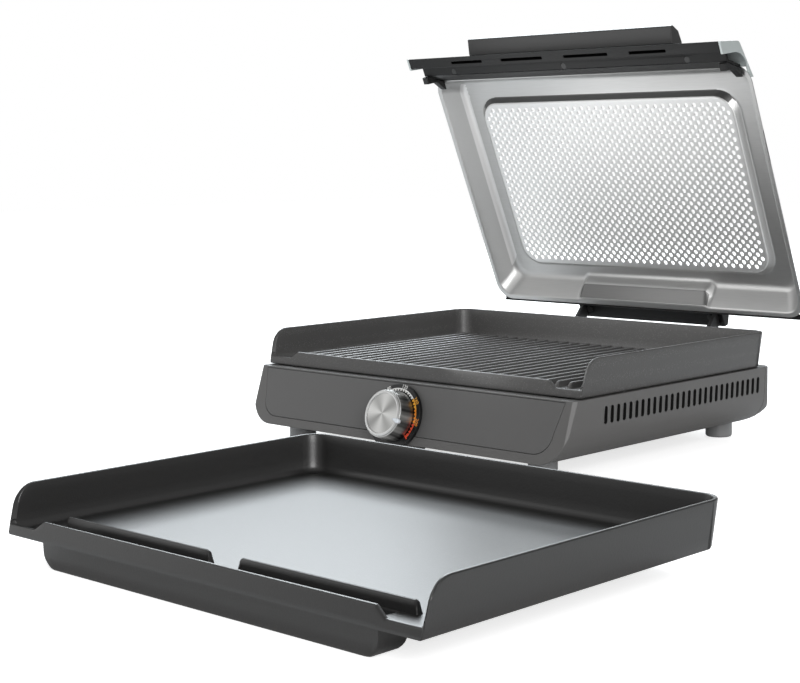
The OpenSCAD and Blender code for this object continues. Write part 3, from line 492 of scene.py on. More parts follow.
# %% Plastics and coats
housing_finish = finish("housing plastic", grey(93, 0.02), 0.46, bump=0.05)
panel_finish = finish("fascia plastic", grey(90, 0.01), 0.42, bump=0.04)
# near black for the walls of the vent slots: painted shade
vent_painted_shade = finish("vent painted shade", grey(18), 0.6)
under_finish = finish("underside plastic", grey(60, 0.01), 0.55, bump=0.05)
trim_finish = finish("dark trim plastic", grey(22, 0.01), 0.44, bump=0.04, specular=0.3)
grip_finish = finish("grip plastic", grey(50, 0.01), 0.36, bump=0.04)
foot_finish = finish("foot plastic", grey(136, -0.01), 0.36, bump=0.04)
dial_finish = finish("dial plastic", grey(20), 0.34, bump=0.03)
pointer_finish = finish("pearl plastic", (0.78, 0.83, 0.88), 0.3, bump=0.02, coat=0.4)
coating = finish("non-stick coat", grey(70, 0.02), 0.44, group=flecks, bump=0.22, spread=-0.1,
                 coat=0.25, coat_rough=0.3, Scale=900.0, Amount=1.9)
griddle_coat = finish("griddle coat", grey(30, 0.03), 0.4, group=flecks, bump=0.08, spread=-0.1,
                      specular=0.8, coat=0.2, coat_rough=0.3, Scale=1500.0, Amount=0.3)
shell_finish = finish("painted silver", (0.47, 0.51, 0.505), 0.34, metal=0.3, bump=0.03, coat=0.3)
seal_finish = finish("silicone seal", grey(24), 0.6, group=flecks, bump=0.4, Scale=700.0, Amount=2.5)
silicone_finish = finish("grey silicone", grey(58), 0.6, bump=0.06)
rubber_finish = finish("black rubber", grey(36), 0.62, bump=0.08)
wire_finish = finish("glass braid", (0.66, 0.62, 0.5), 0.7, bump=0.3)
ceramic_finish = finish("glazed ceramic", (0.76, 0.73, 0.66), 0.26, bump=0.02)
print("plastics and coats:", len(bpy.data.materials) - 1)

# %% Metals
stainless = sheet_steel("brushed stainless", (0.52, 0.52, 0.515), 0.38, 0.2)
# a lighter copy of the stainless: a painted highlight on the flat panel and its left fold
painted_highlight_steel = sheet_steel("painted highlight stainless", (0.72, 0.72, 0.715), 0.46, 0.16, 0.85, 0.4)
# a very dark copy of the stainless: painted shade on the front fold
painted_shade_steel = sheet_steel("painted shade stainless", (0.13, 0.13, 0.128), 0.4, 0.4, anisotropy=0.0)
# a dark copy of the stainless: painted shade on the pressed box's sloping face
painted_shade_box_steel = sheet_steel("box painted shade stainless", (0.18, 0.18, 0.178), 0.36, 0.25)
steel_finish = finish("plain steel", (0.55, 0.55, 0.55), 0.32, metal=1.0, group=brush, spread=0.4)
rim_finish = finish("polished rim", (0.74, 0.74, 0.73), 0.34, metal=0.9, group=brush, spread=0.2,
                    bump=0.01)
dark_steel = finish("blackened steel", grey(62), 0.38, metal=0.6, bump=0.03)
arm_finish = finish("black arm", grey(40), 0.4, metal=0.3, bump=0.04)
copper_finish = finish("copper bulb", (0.62, 0.33, 0.19), 0.34, metal=1.0, group=brush)
element_finish = finish("oxidised tube", (0.13, 0.12, 0.11), 0.48, metal=0.8, group=flecks, bump=0.2,
                        Scale=500.0, Amount=0.6)
tray_finish = finish("aluminised tray", (0.56, 0.57, 0.58), 0.3, metal=1.0, group=brush, bump=0.04,
                     spread=0.5)
bush_finish = finish("sintered bronze", (0.46, 0.32, 0.16), 0.42, metal=1.0, group=flecks, bump=0.1,
                     Scale=900.0)
print("materials:", len(bpy.data.materials))

# %% [markdown]
# ## Loops of rounded rectangles
#
# The lid pan is a sheet shape whose plan is a rounded rectangle at every level, and so is the
# skirt under each plate. Each is a stack of such loops: a side, a front and a rear profile say
# how far out and how high the sheet runs, and the corners blend between them. Along the straight
# parts the points keep the same place in every loop, so neighbouring loops join in clean quads.


# %% Loop surface
def loops(half, front, back, z_side, z_front, z_back, radius, xs, ys, turns):
    """Points of a stack of rounded rectangles, one row per level.

    half, front and back are the reach of each level, the three z arrays its heights at the sides,
    front and rear, and radius its corner radius. xs and ys are the fixed places between the
    corners. A corner point is its centre plus the radius times the cosine and sine of its angle,
    and its height is mixed from its two neighbours by the same squares."""
    half, front, back, z_side, z_front, z_back, radius = (
        np.asarray(values, float)[:, None]
        for values in (half, front, back, z_side, z_front, z_back, radius))
    angle = np.linspace(0, np.pi / 2, turns)

    def straight(x, y, z):
        """A straight part, its fixed places the same on every level."""
        return np.stack(np.broadcast_arrays(x, y, z), -1)

    def corner(side, end, edge, z_edge, quarter):
        """A corner on one side, at the front or rear end, after a number of quarter turns."""
        t = angle + quarter * np.pi / 2
        mix = np.cos(t) ** 2
        x = side * (half - radius) + radius * np.cos(t)
        y = edge - end * radius + radius * np.sin(t)
        return np.stack([x, y, z_side * mix + z_edge * (1 - mix)], -1)

    return np.concatenate([
        straight(half, ys, z_side), corner(1, 1, back, z_back, 0),
        straight(xs[::-1], back, z_back), corner(-1, 1, back, z_back, 1),
        straight(-half, ys[::-1], z_side), corner(-1, -1, front, z_front, 2),
        straight(xs, front, z_front), corner(1, -1, front, z_front, 3)], 1)


def surface_normals(grid):
    """Unit normals of a stack of closed loops: the cross product of the steps along and across."""
    along = np.roll(grid, -1, 1) - np.roll(grid, 1, 1)
    across = np.gradient(grid, axis=0)
    normal = np.cross(along, across)
    return normal / np.maximum(np.linalg.norm(normal, axis=-1, keepdims=True), 1e-9)


plain_loop = loops([30], [-20], [20], [0], [0], [0], [5], np.array([-9, 9]), np.array([0]), 6)
print("a plain loop with 6 points to a corner has", plain_loop.shape[1], "points")

# %% [markdown]
# ## The lid pan
#
# The pan is one sheet of stainless steel, pressed to a tray with soft folds, with a flat panel
# let in and pierced by 39 staggered rows of holes. Its inner skin is the stack of loops, its outer
# skin the same moved one sheet thickness along the normals. At the rear a box is pressed in to
# clear the hinge, as a second rear profile that takes over smoothly between its two ends.

# %% Lid pan folds
SHEET = 1.0
PANEL_Z, CROWN_Z, FOLD_Z, FLANGE_Z = 117.2, 123.2, 112.1, 101.0
# each path is (reach, height) from the panel over the raised crown and down to the flange, and its
# first point only gives the first fold its direction
SIDE = [(144, PANEL_Z), (153, PANEL_Z), (158, CROWN_Z), (176, CROWN_Z), (181.5, FOLD_Z),
        (187, FLANGE_Z), (191.4, FLANGE_Z)]
FRONT = [(-66, PANEL_Z), (-75.35, PANEL_Z), (-80.35, CROWN_Z), (-100.55, CROWN_Z),
         (-104.55, FOLD_Z), (-108.55, FLANGE_Z), (-112.95, FLANGE_Z)]
REAR = [(99, PANEL_Z), (107.8, PANEL_Z), (112.8, CROWN_Z), (127.1, CROWN_Z), (134.35, FOLD_Z),
        (141.6, FLANGE_Z), (146.0, FLANGE_Z)]
BOX = [(99, PANEL_Z), (107.8, PANEL_Z), (112.8, CROWN_Z), (123.6, CROWN_Z), (126.3, 111.2),
       (139.6, FLANGE_Z), (146.0, FLANGE_Z)]
CUTS = [1.3, 1.6, 5.0, 3.4, 2.0]
BOX_HALF, BOX_BLEND, PAN_TURNS = 84.5, 10.0, 10
side, front, rear, box = (soft_corners(path, CUTS)[1:] for path in (SIDE, FRONT, REAR, BOX))
# the corners' radius changes along the sheet, from the panel's edge to the flange's
share = np.linspace(0, 1, len(side))
corner_radius = np.interp(share, [0, 0.3, 0.5, 0.75, 1.0], [17.6, 22, 15, 15, 18.4])
right_xs = np.concatenate([np.linspace(72, 85, 14), np.linspace(88, 130, 10)])
pan_xs = np.concatenate([-right_xs[::-1], np.linspace(-66, 66, 23), right_xs])
pan_ys = np.linspace(-48, 82, 22)
inner = loops(side[:, 0], front[:, 0], rear[:, 0], side[:, 1], front[:, 1], rear[:, 1],
              corner_radius, pan_xs, pan_ys, PAN_TURNS)

# the pressed box: points of the rear side move to the second rear profile near the middle
first_rear = len(pan_ys) + PAN_TURNS
rear_part = inner[:, first_rear:first_rear + len(pan_xs)]
reach = np.clip((BOX_HALF - np.abs(rear_part[..., 0])) / BOX_BLEND, 0, 1)
weight = reach**2 * (3 - 2 * reach)
rear_part[..., 1:] += weight[..., None] * (box - rear)[:, None]
outward = surface_normals(inner)
outward *= np.sign(outward[0, 0, 2])
outer = inner + SHEET * outward
outer[[0, -1], :, :2] = inner[[0, -1], :, :2]
outer[0, :, 2] = PANEL_Z + SHEET
outer[-1, :, 2] = FLANGE_Z + SHEET
print("pan:", inner.shape[0], "levels of", inner.shape[1], "points")

# %% Places of the holes
HOLE, PITCH, ROW_STEP, ROWS, LONG_ROW, FIRST_ROW_Y = 2.23, 8.93, 4.466, 39, 34, 101.3
centres = []
for row in range(ROWS):
    count = LONG_ROW - row % 2
    line = (np.arange(count) - (count - 1) / 2) * PITCH
    if row in (0, ROWS - 1):
        line = line[1:-1]
    centres.append(np.column_stack([line, np.full(len(line), FIRST_ROW_Y - row * ROW_STEP)]))
centres = np.concatenate(centres)
print("holes:", len(centres))

# %% [markdown]
# The flat panel between the holes is filled with triangles by a constrained Delaunay
# triangulation, which keeps the panel's border and every hole's outline as edges. Cutting the
# holes with a boolean would take far longer and leave slivers. Triangles inside a hole are
# dropped, those left make both faces of the panel, and a short wall lines each hole.

# %% Panel with holes
HOLE_SIDES, SAME_PLACE, IN_HOLE = 14, 1e-4, 0.985
# the triangulation's kind of result that leaves out triangles beyond the border, and its tolerance
INSIDE_ONLY, TOLERANCE = 1, 1e-5
around = np.linspace(0, 2 * np.pi, HOLE_SIDES, endpoint=False)
rings = centres[:, None, :] + HOLE * np.stack([np.cos(around), np.sin(around)], -1)
border = inner[0, :, :2]
border = border[np.linalg.norm(border - np.roll(border, 1, 0), axis=1) > SAME_PLACE]
border_ids = np.arange(len(border))
ring_ids = np.arange(len(centres) * HOLE_SIDES).reshape(-1, HOLE_SIDES)
next_ids = np.roll(ring_ids, -1, 1)
edges = np.concatenate([np.column_stack([border_ids, np.roll(border_ids, -1)]),
                        len(border) + np.stack([ring_ids, next_ids], -1).reshape(-1, 2)])
outline = np.concatenate([border, rings.reshape(-1, 2)])
found = delaunay_2d_cdt([tuple(p) for p in outline], edges.tolist(), [], INSIDE_ONLY, TOLERANCE)
places, tris = np.array([tuple(p) for p in found[0]]), np.array(found[2])
middle = places[tris].mean(1)
# in a dozen parts, since a table of every triangle against every hole would be large
nearest = np.concatenate([np.linalg.norm(some[:, None] - centres, axis=2).min(1)
                          for some in np.array_split(middle, 12)])
tris = tris[nearest > HOLE * IN_HOLE]


def raised(plan, height):
    """Plan points given a height."""
    return np.column_stack([plan, np.full(len(plan), height)])


ring_points = rings.reshape(-1, 2)
wall_points = np.concatenate([raised(ring_points, PANEL_Z), raised(ring_points, PANEL_Z + SHEET)])
hole_walls = np.stack([ring_ids, next_ids, next_ids + len(ring_points),
                       ring_ids + len(ring_points)], -1).reshape(-1, 4)
panel_blocks = [(raised(places, PANEL_Z), tris), (raised(places, PANEL_Z + SHEET), tris[:, ::-1]),
                (wall_points, hole_walls)]
print("panel triangles:", len(tris))

# %% Lid pan mesh
skin_blocks = [grid_block(inner, wrap=True), grid_block(outer, wrap=True, flip=True),
               grid_block(np.stack([inner[-1], outer[-1]]), wrap=True)]
pan = make_piece("lid_pan_pressed", skin_blocks + panel_blocks, open_lid, "lid",
                 [stainless, painted_highlight_steel, painted_shade_steel, painted_shade_box_steel],
                 "lid_pan", smooth=50)

# %% [markdown]
# The same steel is given painted light and shade by copies in other colours. A lighter copy is a
# painted highlight on the flat panel and on the fold on its left, a very dark copy is painted shade
# on the front fold, and a dark copy is painted shade on the pressed box. The faces are chosen by
# their place in the lid's own frame, so each painted tone ends at a fold. The UV map across has the
# lid's depth as u, and a tangent along u draws the highlights out across the brushing.

# %% Painted highlight and shade on the pan
turned = open_lid(np.array([[0, 0, 0.0], [0, 0, 1.0], [0, -1.0, 0]]))
lid_up, lid_ahead = turned[1:] - turned[0]
centre, normal = face_arrays(pan.data)
centre = centre - turned[0]
height, forward, aside = centre @ lid_up, centre @ lid_ahead, centre[:, 0]
# the flat panel and the left fold take the painted highlight copy, index 1
panel = between(height, PANEL_Z - 0.05, PANEL_Z + SHEET + 0.05)
# the front fold's faces that face forward take the painted shade copy, index 2
front_fold = (between(height, PANEL_Z + 0.1, CROWN_Z - 0.2) & between(forward, 70, 82)
              & (normal @ lid_ahead > 0.35))
# the pressed box's sloping face takes the second painted shade copy, index 3
box_face = (between(height, FLANGE_Z + 0.5, 111.0) & between(forward, -139.5, -126.5)
            & between(aside, -80, 80))
left_fold = (between(height, PANEL_Z - 0.2, CROWN_Z + 0.3) & between(forward, -100, 98)
             & between(aside, -180, -171))
# index 1 is painted highlight, 2 and 3 are painted shade, 0 the plain stainless
painted_light_index = np.select([panel, front_fold, box_face, left_fold], [1, 2, 3, 1], 0)
pan.data.polygons.foreach_set("material_index", painted_light_index)
coords = mesh_points(pan.data)
depth = math.cos(LID_TURN) * coords[:, 1] + math.sin(LID_TURN) * coords[:, 2]
write_map(pan.data, "across", np.column_stack([depth, coords[:, 0]]))
print("faces of each finish:", np.bincount(painted_light_index))

# %% [markdown]
# ## The two plates
#
# Both plates are castings with the same pan: walls on three sides whose front ends fall in a
# curve, a low lip with a pouring notch at each end, a floor and a grease trough. The whole skin is
# one stack of loops, up the outside, over the rounded top and down the inside to a fillet. The
# height of the top is a function of the place along the loop. Two grids close it, the floor and
# the underside, and in both the trough is a factor across the plate times a depth along it.

# %% Outline of the walls
PLATE_FRONT, PLATE_BACK, PLATE_HALF, WALL = -133.4, 142.6, 187.5, 32.4
FLARE, THICK, FLOOR, LIP, NOTCH = 2.9 / 33.4, 3.0, 3.4, 12.7, 6.9
NOTCH_FROM, NOTCH_RUN = 152.0, 8.5
LEAN_BACK = math.radians(16)
FALL = math.tan(LEAN_BACK)
END_R, END_Y, END_Z = 18.0, -110.545, 14.4
FOOT_Z, TOP_ROUND, CORNER_RISE = 1.5, 1.3, 2.4
FRONT_RADIUS, REAR_RADIUS, LEAST_RADIUS = 0.8, 16.0, 4.0
FADE_FROM, FADE_RUN = -119.4, 12.0
# width of the lip's fillet to the floor, as a share of the fillet's width under the other walls
LIP_FILLET = 0.3


def wall_height(y):
    """Height of a side wall's top: a lean line, then an arc, then level."""
    lean = (y - PLATE_FRONT) / FALL
    arc = END_Z + np.sqrt(np.clip(END_R**2 - (y - END_Y) ** 2, 0, None))
    tangent = END_Y - END_R * math.cos(LEAN_BACK)
    return np.where(y < tangent, lean, np.where(y < END_Y, arc, WALL))


def lip_height(x):
    """Height of the front lip along x, with a sloped notch beside each wall."""
    return LIP - (LIP - NOTCH) * np.clip((np.abs(x) - NOTCH_FROM) / NOTCH_RUN, 0, 1)


print("wall heights near the front:", np.round(wall_height(np.array([-131.0, -118.0, -100.0])), 1))

# %% Troughs and grid lines
END_X, REAR_Y, CORNER_TURNS, END_RUN = 175.0, 132.0, 9, 0.4
QUARTER = np.linspace(0, np.pi / 2, CORNER_TURNS)
# each grid's front edge and level, and its trough from near to far, its half length, depth and radius
IN_FLOOR = {"edge": -127.4, "base": FLOOR, "near": -127.1, "far": -108.4, "half": 147.0,
            "depth": 19.0, "radius": 8.6}
UNDER = {"edge": -130.6, "base": 0.0, "near": -129.5, "far": -106.0, "half": 153.0,
         "depth": 18.0, "radius": 11.0}
# (distance in from a trough's long edge, share of its depth)
TROUGH_EDGE = np.array([(-0.001, 0), (0, 0.04), (0.05, 0.5), (0.1, 0.88), (0.9, 0.97), (2.4, 1.0)])
EDGE_LINES = np.array([-0.3, 0, 0.05, 0.1, 0.9, 2.4])
FRONT_LINES = -131.4 + np.array([0.9, 1.9, 2.8, 3.6, 4.6, 5.8, 7.2, 8.8, 10.6, 12.6, 14.8, 17.2,
                                 19.4, 21.2])
END_LINES = np.array([138.4, 140.5, 142.0, 144.2, 145.6, 146.5, 147.0, 147.4, 149, 150.8, 152,
                      152.7, 153.0, 153.4, 157.0, 158.0, 158.9, 159.8, 160.5, 163.0])


def plate_lines(extra_x, extra_y):
    """The x and y of a plate's grid lines: even ones, closer ones at every edge, and extra ones."""
    xs = np.concatenate([np.linspace(-END_X, END_X, 31), END_LINES, -END_LINES, extra_x])
    edges = [line for trough in (IN_FLOOR, UNDER)
             for line in (trough["near"] + EDGE_LINES, trough["far"] - EDGE_LINES)]
    ys = np.concatenate([FRONT_LINES, *edges, np.linspace(-100, 130, 22), extra_y])
    xs, ys = np.unique(np.round(xs, 3)), np.unique(np.round(ys, 3))
    return xs, ys[between(ys, -130.9, REAR_Y)]


def trough_depth(x, half, depth, radius):
    """Depth of the trough along x: level, then a round corner up to a steep end."""
    over = np.clip(np.abs(x) - (half - radius), 0, radius)
    level_part = depth - radius + np.sqrt(radius**2 - over**2)
    end = np.clip((half + END_RUN - np.abs(x)) / END_RUN, 0, 1)
    return np.where(np.abs(x) <= half, level_part, (depth - radius) * end)


def closing_grid(xs, ys, edge, base, near, far, half, depth, radius):
    """A grid between the sides, its trough let in: a share across y times a depth along x."""
    line_y = np.unique(np.concatenate([np.clip(ys, edge, REAR_Y), [edge, REAR_Y]]))
    distance, share = TROUGH_EDGE.T
    across = np.interp(line_y, near + distance, share) * np.interp(far - line_y, distance, share)
    x, y = np.meshgrid(xs, line_y)
    return np.stack([x, y, base - across[:, None] * trough_depth(x, half, depth, radius)], -1)


print("a plain plate has", [len(lines) for lines in plate_lines([], [])], "grid lines")


# %% Loops of the walls
def mirrored(points):
    """The same points on the left, in the opposite order."""
    return points[::-1] * [-1, 1, 1]


def whole_loop(side, rear_corner, rear, front_corner, front):
    """A whole loop from its right side and right rear corner, its rear, its left front corner and
    its front."""
    return np.concatenate([side, rear_corner, rear, mirrored(rear_corner), mirrored(side),
                           front_corner, front, mirrored(front_corner)])


def wall_loop(xs, ys, inset, z_side, z_corner, z_front, z_rear):
    """One loop of the wall, inset from the outer skin, from the heights of its parts. The walls
    flare outwards with height, and the front leans: its y follows the height by the lean's slope,
    which fades out along the sides."""
    into = min(inset, THICK + (inset - THICK) * LIP_FILLET)
    fade = np.clip((FADE_FROM - ys) / FADE_RUN, 0, 1)
    side = np.column_stack([PLATE_HALF + FLARE * z_side - inset,
                            ys + fade * (into - FALL * (wall_height(ys) - z_side)), z_side])
    z = z_rear[0]
    half, back = PLATE_HALF + FLARE * z - inset, PLATE_BACK + FLARE * z - inset
    radius = max(REAR_RADIUS - inset, LEAST_RADIUS)
    rear_corner = np.column_stack([half - radius + radius * np.cos(QUARTER),
                                   back - radius + radius * np.sin(QUARTER), 0 * QUARTER + z])
    rear = np.column_stack([xs[::-1] * (half - radius) / END_X, 0 * xs + back, 0 * xs + z])
    front_corner = np.column_stack([
        -(PLATE_HALF + FLARE * z_corner - inset) + FRONT_RADIUS * (1 - np.cos(QUARTER)),
        PLATE_FRONT + FALL * z_corner + into + FRONT_RADIUS * (1 - np.sin(QUARTER)), z_corner])
    front = np.column_stack([xs, PLATE_FRONT + FALL * z_front + into, z_front])
    return whole_loop(side, rear_corner, rear, front_corner, front)


def flat_loop(xs, ys, edge, base):
    """A level loop with sharp corners, which the floor's or the underside's grid meets."""
    side = np.column_stack([0 * ys + END_X, np.clip(ys, edge, REAR_Y), 0 * ys + base])
    rear = np.column_stack([xs[::-1], 0 * xs + REAR_Y, 0 * xs + base])
    front = np.column_stack([xs, 0 * xs + edge, 0 * xs + base])
    return whole_loop(side, np.tile([END_X, REAR_Y, base], (CORNER_TURNS, 1)), rear,
                      np.tile([-END_X, edge, base], (CORNER_TURNS, 1)), front)


def wall_levels(top):
    """Insets and heights of the wall's loops, for a row of heights of its top: the foot, the outer
    side, the rounded top, the inner side and the fillet to the floor."""
    fillet = np.minimum(5.0, 0.45 * (top - TOP_ROUND - FLOOR))
    inside = top - TOP_ROUND - FLOOR - fillet
    foot = [(1.6, 0.0), (0.5, 0.35), (0.0, FOOT_Z)]
    over = [(0.12, 0.75), (0.45, 0.3), (0.9, 0.06), (1.5, 0.0), (2.1, 0.06), (2.55, 0.3),
            (2.88, 0.75), (THICK, TOP_ROUND)]
    curve = [(0.0, 1.0), (0.35, 0.64), (1.3, 0.3), (2.9, 0.08), (5.0, 0.0)]
    return ([(inset, 0 * top + height) for inset, height in foot]
            + [(0.0, FOOT_Z + (top - (FOOT_Z + TOP_ROUND)) * share) for share in (0.25, 0.5, 0.75, 1.0)]
            + [(inset, top - drop) for inset, drop in over]
            + [(THICK, FLOOR + fillet + inside * share) for share in (0.75, 0.5, 0.25)]
            + [(THICK + inset, FLOOR + fillet * share) for inset, share in curve])


def plate_loops(xs, ys):
    """Every loop of the skin, from the underside's edge up, over and down to the floor's edge."""
    corner_top = NOTCH + CORNER_RISE * np.cos(QUARTER) ** 2
    tops = [wall_height(ys), corner_top, lip_height(xs), np.array([WALL])]
    cuts = np.cumsum([len(part) for part in tops[:-1]])
    walls = [wall_loop(xs, ys, inset, *np.split(heights, cuts))
             for inset, heights in wall_levels(np.concatenate(tops))]
    under, floor = (flat_loop(xs, ys, grid["edge"], grid["base"]) for grid in (UNDER, IN_FLOOR))
    return np.array([under, *walls, floor])


print("loops of a wall:", len(wall_levels(np.array([WALL]))))


# %% Whole plate
SKIRT_HALF, SKIRT_FRONT, SKIRT_BACK, SKIRT_RADIUS = 156, -96, 110, 6.0
PAD_X, PAD_Y, PAD_RADIUS, PAD_Z, PAD_EDGE, SUNK = 112, 66, 7, -18, 0.8, 0.5


def locating_blocks():
    """The locating skirt and two round pads under the floor, each closed by itself and sunk a
    little into the floor."""
    out, z = np.array([(0.0, SUNK), (0.0, -8.4), (0.6, -9.0), (1.9, -9.0), (2.5, -8.4),
                       (2.5, SUNK), (0.0, SUNK)]).T
    skirt = loops(SKIRT_HALF - out, SKIRT_FRONT + out, SKIRT_BACK - out, z, z, z,
                  SKIRT_RADIUS - out, np.linspace(-148, 148, 6), np.linspace(-88, 102, 5), 5)
    pad, pad_faces = lathe([(0, SUNK), (PAD_RADIUS, SUNK), (PAD_RADIUS, PAD_Z + PAD_EDGE),
                            (PAD_RADIUS - PAD_EDGE, PAD_Z), (0, PAD_Z)], 32)
    pads = [(pad + [x, PAD_Y, 0], pad_faces) for x in (-PAD_X, PAD_X)]
    return [grid_block(skirt, wrap=True), *pads]


def plate_skin(node, place, material, extra_x, extra_y, relief):
    """A whole plate: the stack of loops, the two grids that close it and what is under its floor.

    extra_x and extra_y are more grid lines, and relief gives the height of the floor's ribs or
    ridges at each grid point."""
    xs, ys = plate_lines(extra_x, extra_y)
    floor = closing_grid(xs, ys, **IN_FLOOR)
    floor[..., 2] += relief(floor[..., 0], floor[..., 1])
    blocks = [grid_block(plate_loops(xs, ys), wrap=True), grid_block(floor),
              grid_block(closing_grid(xs, ys, **UNDER), flip=True), *locating_blocks()]
    make_piece(node + "_cast", blocks, moved(place), node, [material], node, smooth=32)


print("blocks under a floor:", len(locating_blocks()))

# %% [markdown]
# The grill plate has 26 tapered ribs and the griddle two low ridges behind its trough. Both are a
# height over the floor: a profile across the rib times one along it, so they stay part of the
# same skin as the floor that they rise from.

# %% Ribs and ridges
RIBS, RIB_PITCH = 26, 13.5
RIB_ACROSS = np.array([-2.75, -2.3, -1.9, -1.45, -0.9, 0.0, 0.9, 1.45, 1.9, 2.3, 2.75])
RIB_HEIGHT = np.array([0.0, 1.3, 3.4, 4.6, 4.95, 5.0, 4.95, 4.6, 3.4, 1.3, 0.0])
RIB_ENDS = [-107.0, -106.2, -104.8, -103.0, 127.2, 129.0, 130.2, 130.9]
RIDGE_ACROSS = np.array([-107.0, -106.6, -106.1, -105.4, -104.6, -103.8, -103.1, -102.6, -102.2])
RIDGE_HEIGHT = np.array([0.0, 3.8, 6.6, 7.7, 8.0, 7.7, 6.6, 3.8, 0.0])
RIDGE_ENDS = np.array([13.4, 13.9, 14.8, 16.2, 157.7, 158.9, 159.7, 160.2])
MIDDLE_RIB = (RIBS - 1) / 2
rib_lines = ((np.arange(RIBS) - MIDDLE_RIB) * RIB_PITCH)[:, None] + RIB_ACROSS


def ribs(x, y):
    """Height of the nearest rib's profile, faded to nothing at its two ends."""
    nearest = (x / RIB_PITCH + MIDDLE_RIB).round().clip(0, RIBS - 1) - MIDDLE_RIB
    across = np.interp(x - nearest * RIB_PITCH, RIB_ACROSS, RIB_HEIGHT)
    return across * np.interp(y, RIB_ENDS, [0, 0.45, 0.85, 1, 1, 0.85, 0.45, 0])


def ridges(x, y):
    """Two bars behind the trough with a gap between them."""
    along = np.interp(np.abs(x), RIDGE_ENDS, [0, 0.5, 0.9, 1, 1, 0.9, 0.5, 0])
    return along * np.interp(y, RIDGE_ACROSS, RIDGE_HEIGHT)


plate_skin("grill_plate", GRILL, coating, rib_lines.ravel(), RIB_ENDS, ribs)
plate_skin("griddle_plate", GRIDDLE, griddle_coat, np.concatenate([RIDGE_ENDS, -RIDGE_ENDS]),
           RIDGE_ACROSS, ridges)

# %% [markdown]
# ## Knob and dial
#
# The knob is turned: a drawn skirt with a streaked side and a cap with a polished rim and a fine
# sunburst brushing. A lathe profile fits it exactly. The light wedges of the sunburst and the light
# and dark streaks of the side are painted highlights and shade in the colour, with finer waves for
# the brushing lines. They follow the angle about the axis, which a UV map holds, so they turn with
# the knob. A sum of a few cosines of that angle gives their uneven rhythm.


# %% Painted highlights that follow the angle
def painted_highlight_waves(material, waves, half, dark, light):
    """Paints highlights and shade into a material's colour by the angle about the axis: a sum of
    share * cos(count * angle + phase), from dark where the sum is -half or less to light where it is
    half or more."""
    tree = material.node_tree
    spin = shader_node(tree, "ShaderNodeUVMap", uv_map="spin")
    split = shader_node(tree, "ShaderNodeSeparateXYZ", Vector=spin.outputs[0])
    angle = maths(tree, "ARCTAN2", split.outputs["Y"], split.outputs["X"])
    total = 0
    for count, phase, share in waves:
        wave = maths(tree, "COSINE", maths(tree, "MULTIPLY_ADD", angle, count, phase))
        total = maths(tree, "MULTIPLY_ADD", wave, share, total)
    wedge = shader_node(tree, "ShaderNodeMapRange", Value=total, From_Min=-half, From_Max=half,
                        To_Min=0.0, To_Max=1.0)
    colour = mixed_colour(tree, wedge.outputs[0], (*dark, 1), (*light, 1))
    tree.links.new(colour, tree.nodes["Principled BSDF"].inputs["Base Color"])


# the side's light and dark streaks are painted highlight and shade on the chrome
side_painted_streaks = finish("knob chrome", None, 0.26, metal=1.0, group=brush, spread=0.6, bump=0.03,
                     Stretch=(1.0, 0.08, 0.08), Scale=900.0)
painted_highlight_waves(side_painted_streaks, [(11, 0.5, 0.25), (5, 1.0, 0.12), (37, 0.0, 0.08)], 0.36,
           (0.09, 0.09, 0.088), (0.52, 0.52, 0.505))
# the sunburst's light wedges are a painted highlight; the finest waves stand for the brushing lines
sunburst = finish("sunburst aluminium", None, 0.3, metal=1.0, group=brush, spread=0.3, bump=0.01)
painted_highlight_waves(sunburst, [(4, 0.35, 0.25), (2, 1.2, 0.08), (57, 0.0, 0.04), (131, 1.0, 0.05)], 0.45,
           (0.26, 0.26, 0.253), (0.76, 0.76, 0.745))
print("nodes of the sunburst:", len(sunburst.node_tree.nodes))

# %% Knob bodies
FOOT, TOP = 4.4, 19.4
SKIRT = [(3.1, FOOT + 3.2), (18.5, FOOT + 3.2), (18.6, FOOT), (22.0, FOOT), (22.5, FOOT + 0.35),
         (22.6, FOOT + 0.9), (22.1, FOOT + 5), (21.5, FOOT + 10), (21.12, TOP - 0.9),
         (20.95, TOP - 0.25), (20.6, TOP), (20.32, TOP - 0.1), (20.3, TOP - 1.2), (3.1, TOP - 1.2),
         (3.1, FOOT + 3.2)]
CAP = [(0, TOP - 1.18), (20.1, TOP - 1.18), (20.2, TOP - 1.0), (20.2, TOP + 0.35),
       (20.05, TOP + 0.62), (19.3, TOP + 1.05), (18.9, TOP + 1.18), (18.4, TOP + 1.2),
       (18.0, TOP + 1.1), (17.7, TOP + 0.5), (17.4, TOP + 0.35), (16.9, TOP + 0.36),
       (6.0, TOP + 0.5), (1.0, TOP + 0.52), (0, TOP + 0.52)]
MAP_RADIUS = 20


def turned_piece(node, profile, finishes, rim_radius, rim_height):
    """A turned part of the knob with its map spin, the place seen along the axis as a share of 20
    mm. Its second finish goes on the rim, beyond a radius and above a height."""
    piece = make_piece(node + "_turned", [lathe(profile)], on_knob, "knob", finishes, node)
    local = mesh_points(piece.data) / MM - KNOB_START
    write_map(piece.data, "spin", np.column_stack([local[:, 0], local @ KNOB_UP]) / MAP_RADIUS)
    centre = face_arrays(piece.data)[0] - KNOB_START
    rim = (np.hypot(centre @ KNOB_UP, centre[:, 0]) > rim_radius) & (centre @ KNOB_OUT > rim_height)
    piece.data.polygons.foreach_set("material_index", rim.astype(int))


turned_piece("knob_skirt", SKIRT, [side_painted_streaks, rim_finish], 20.0, TOP - 0.95)
turned_piece("knob_cap", CAP, [sunburst, rim_finish], 17.8, TOP)

# %% Knob pointer
POINTER_TURN = math.radians(-14)
POINTER_OUT, POINTER_HALF, POINTER_WIDE = 18.6, 4.3, 2.8
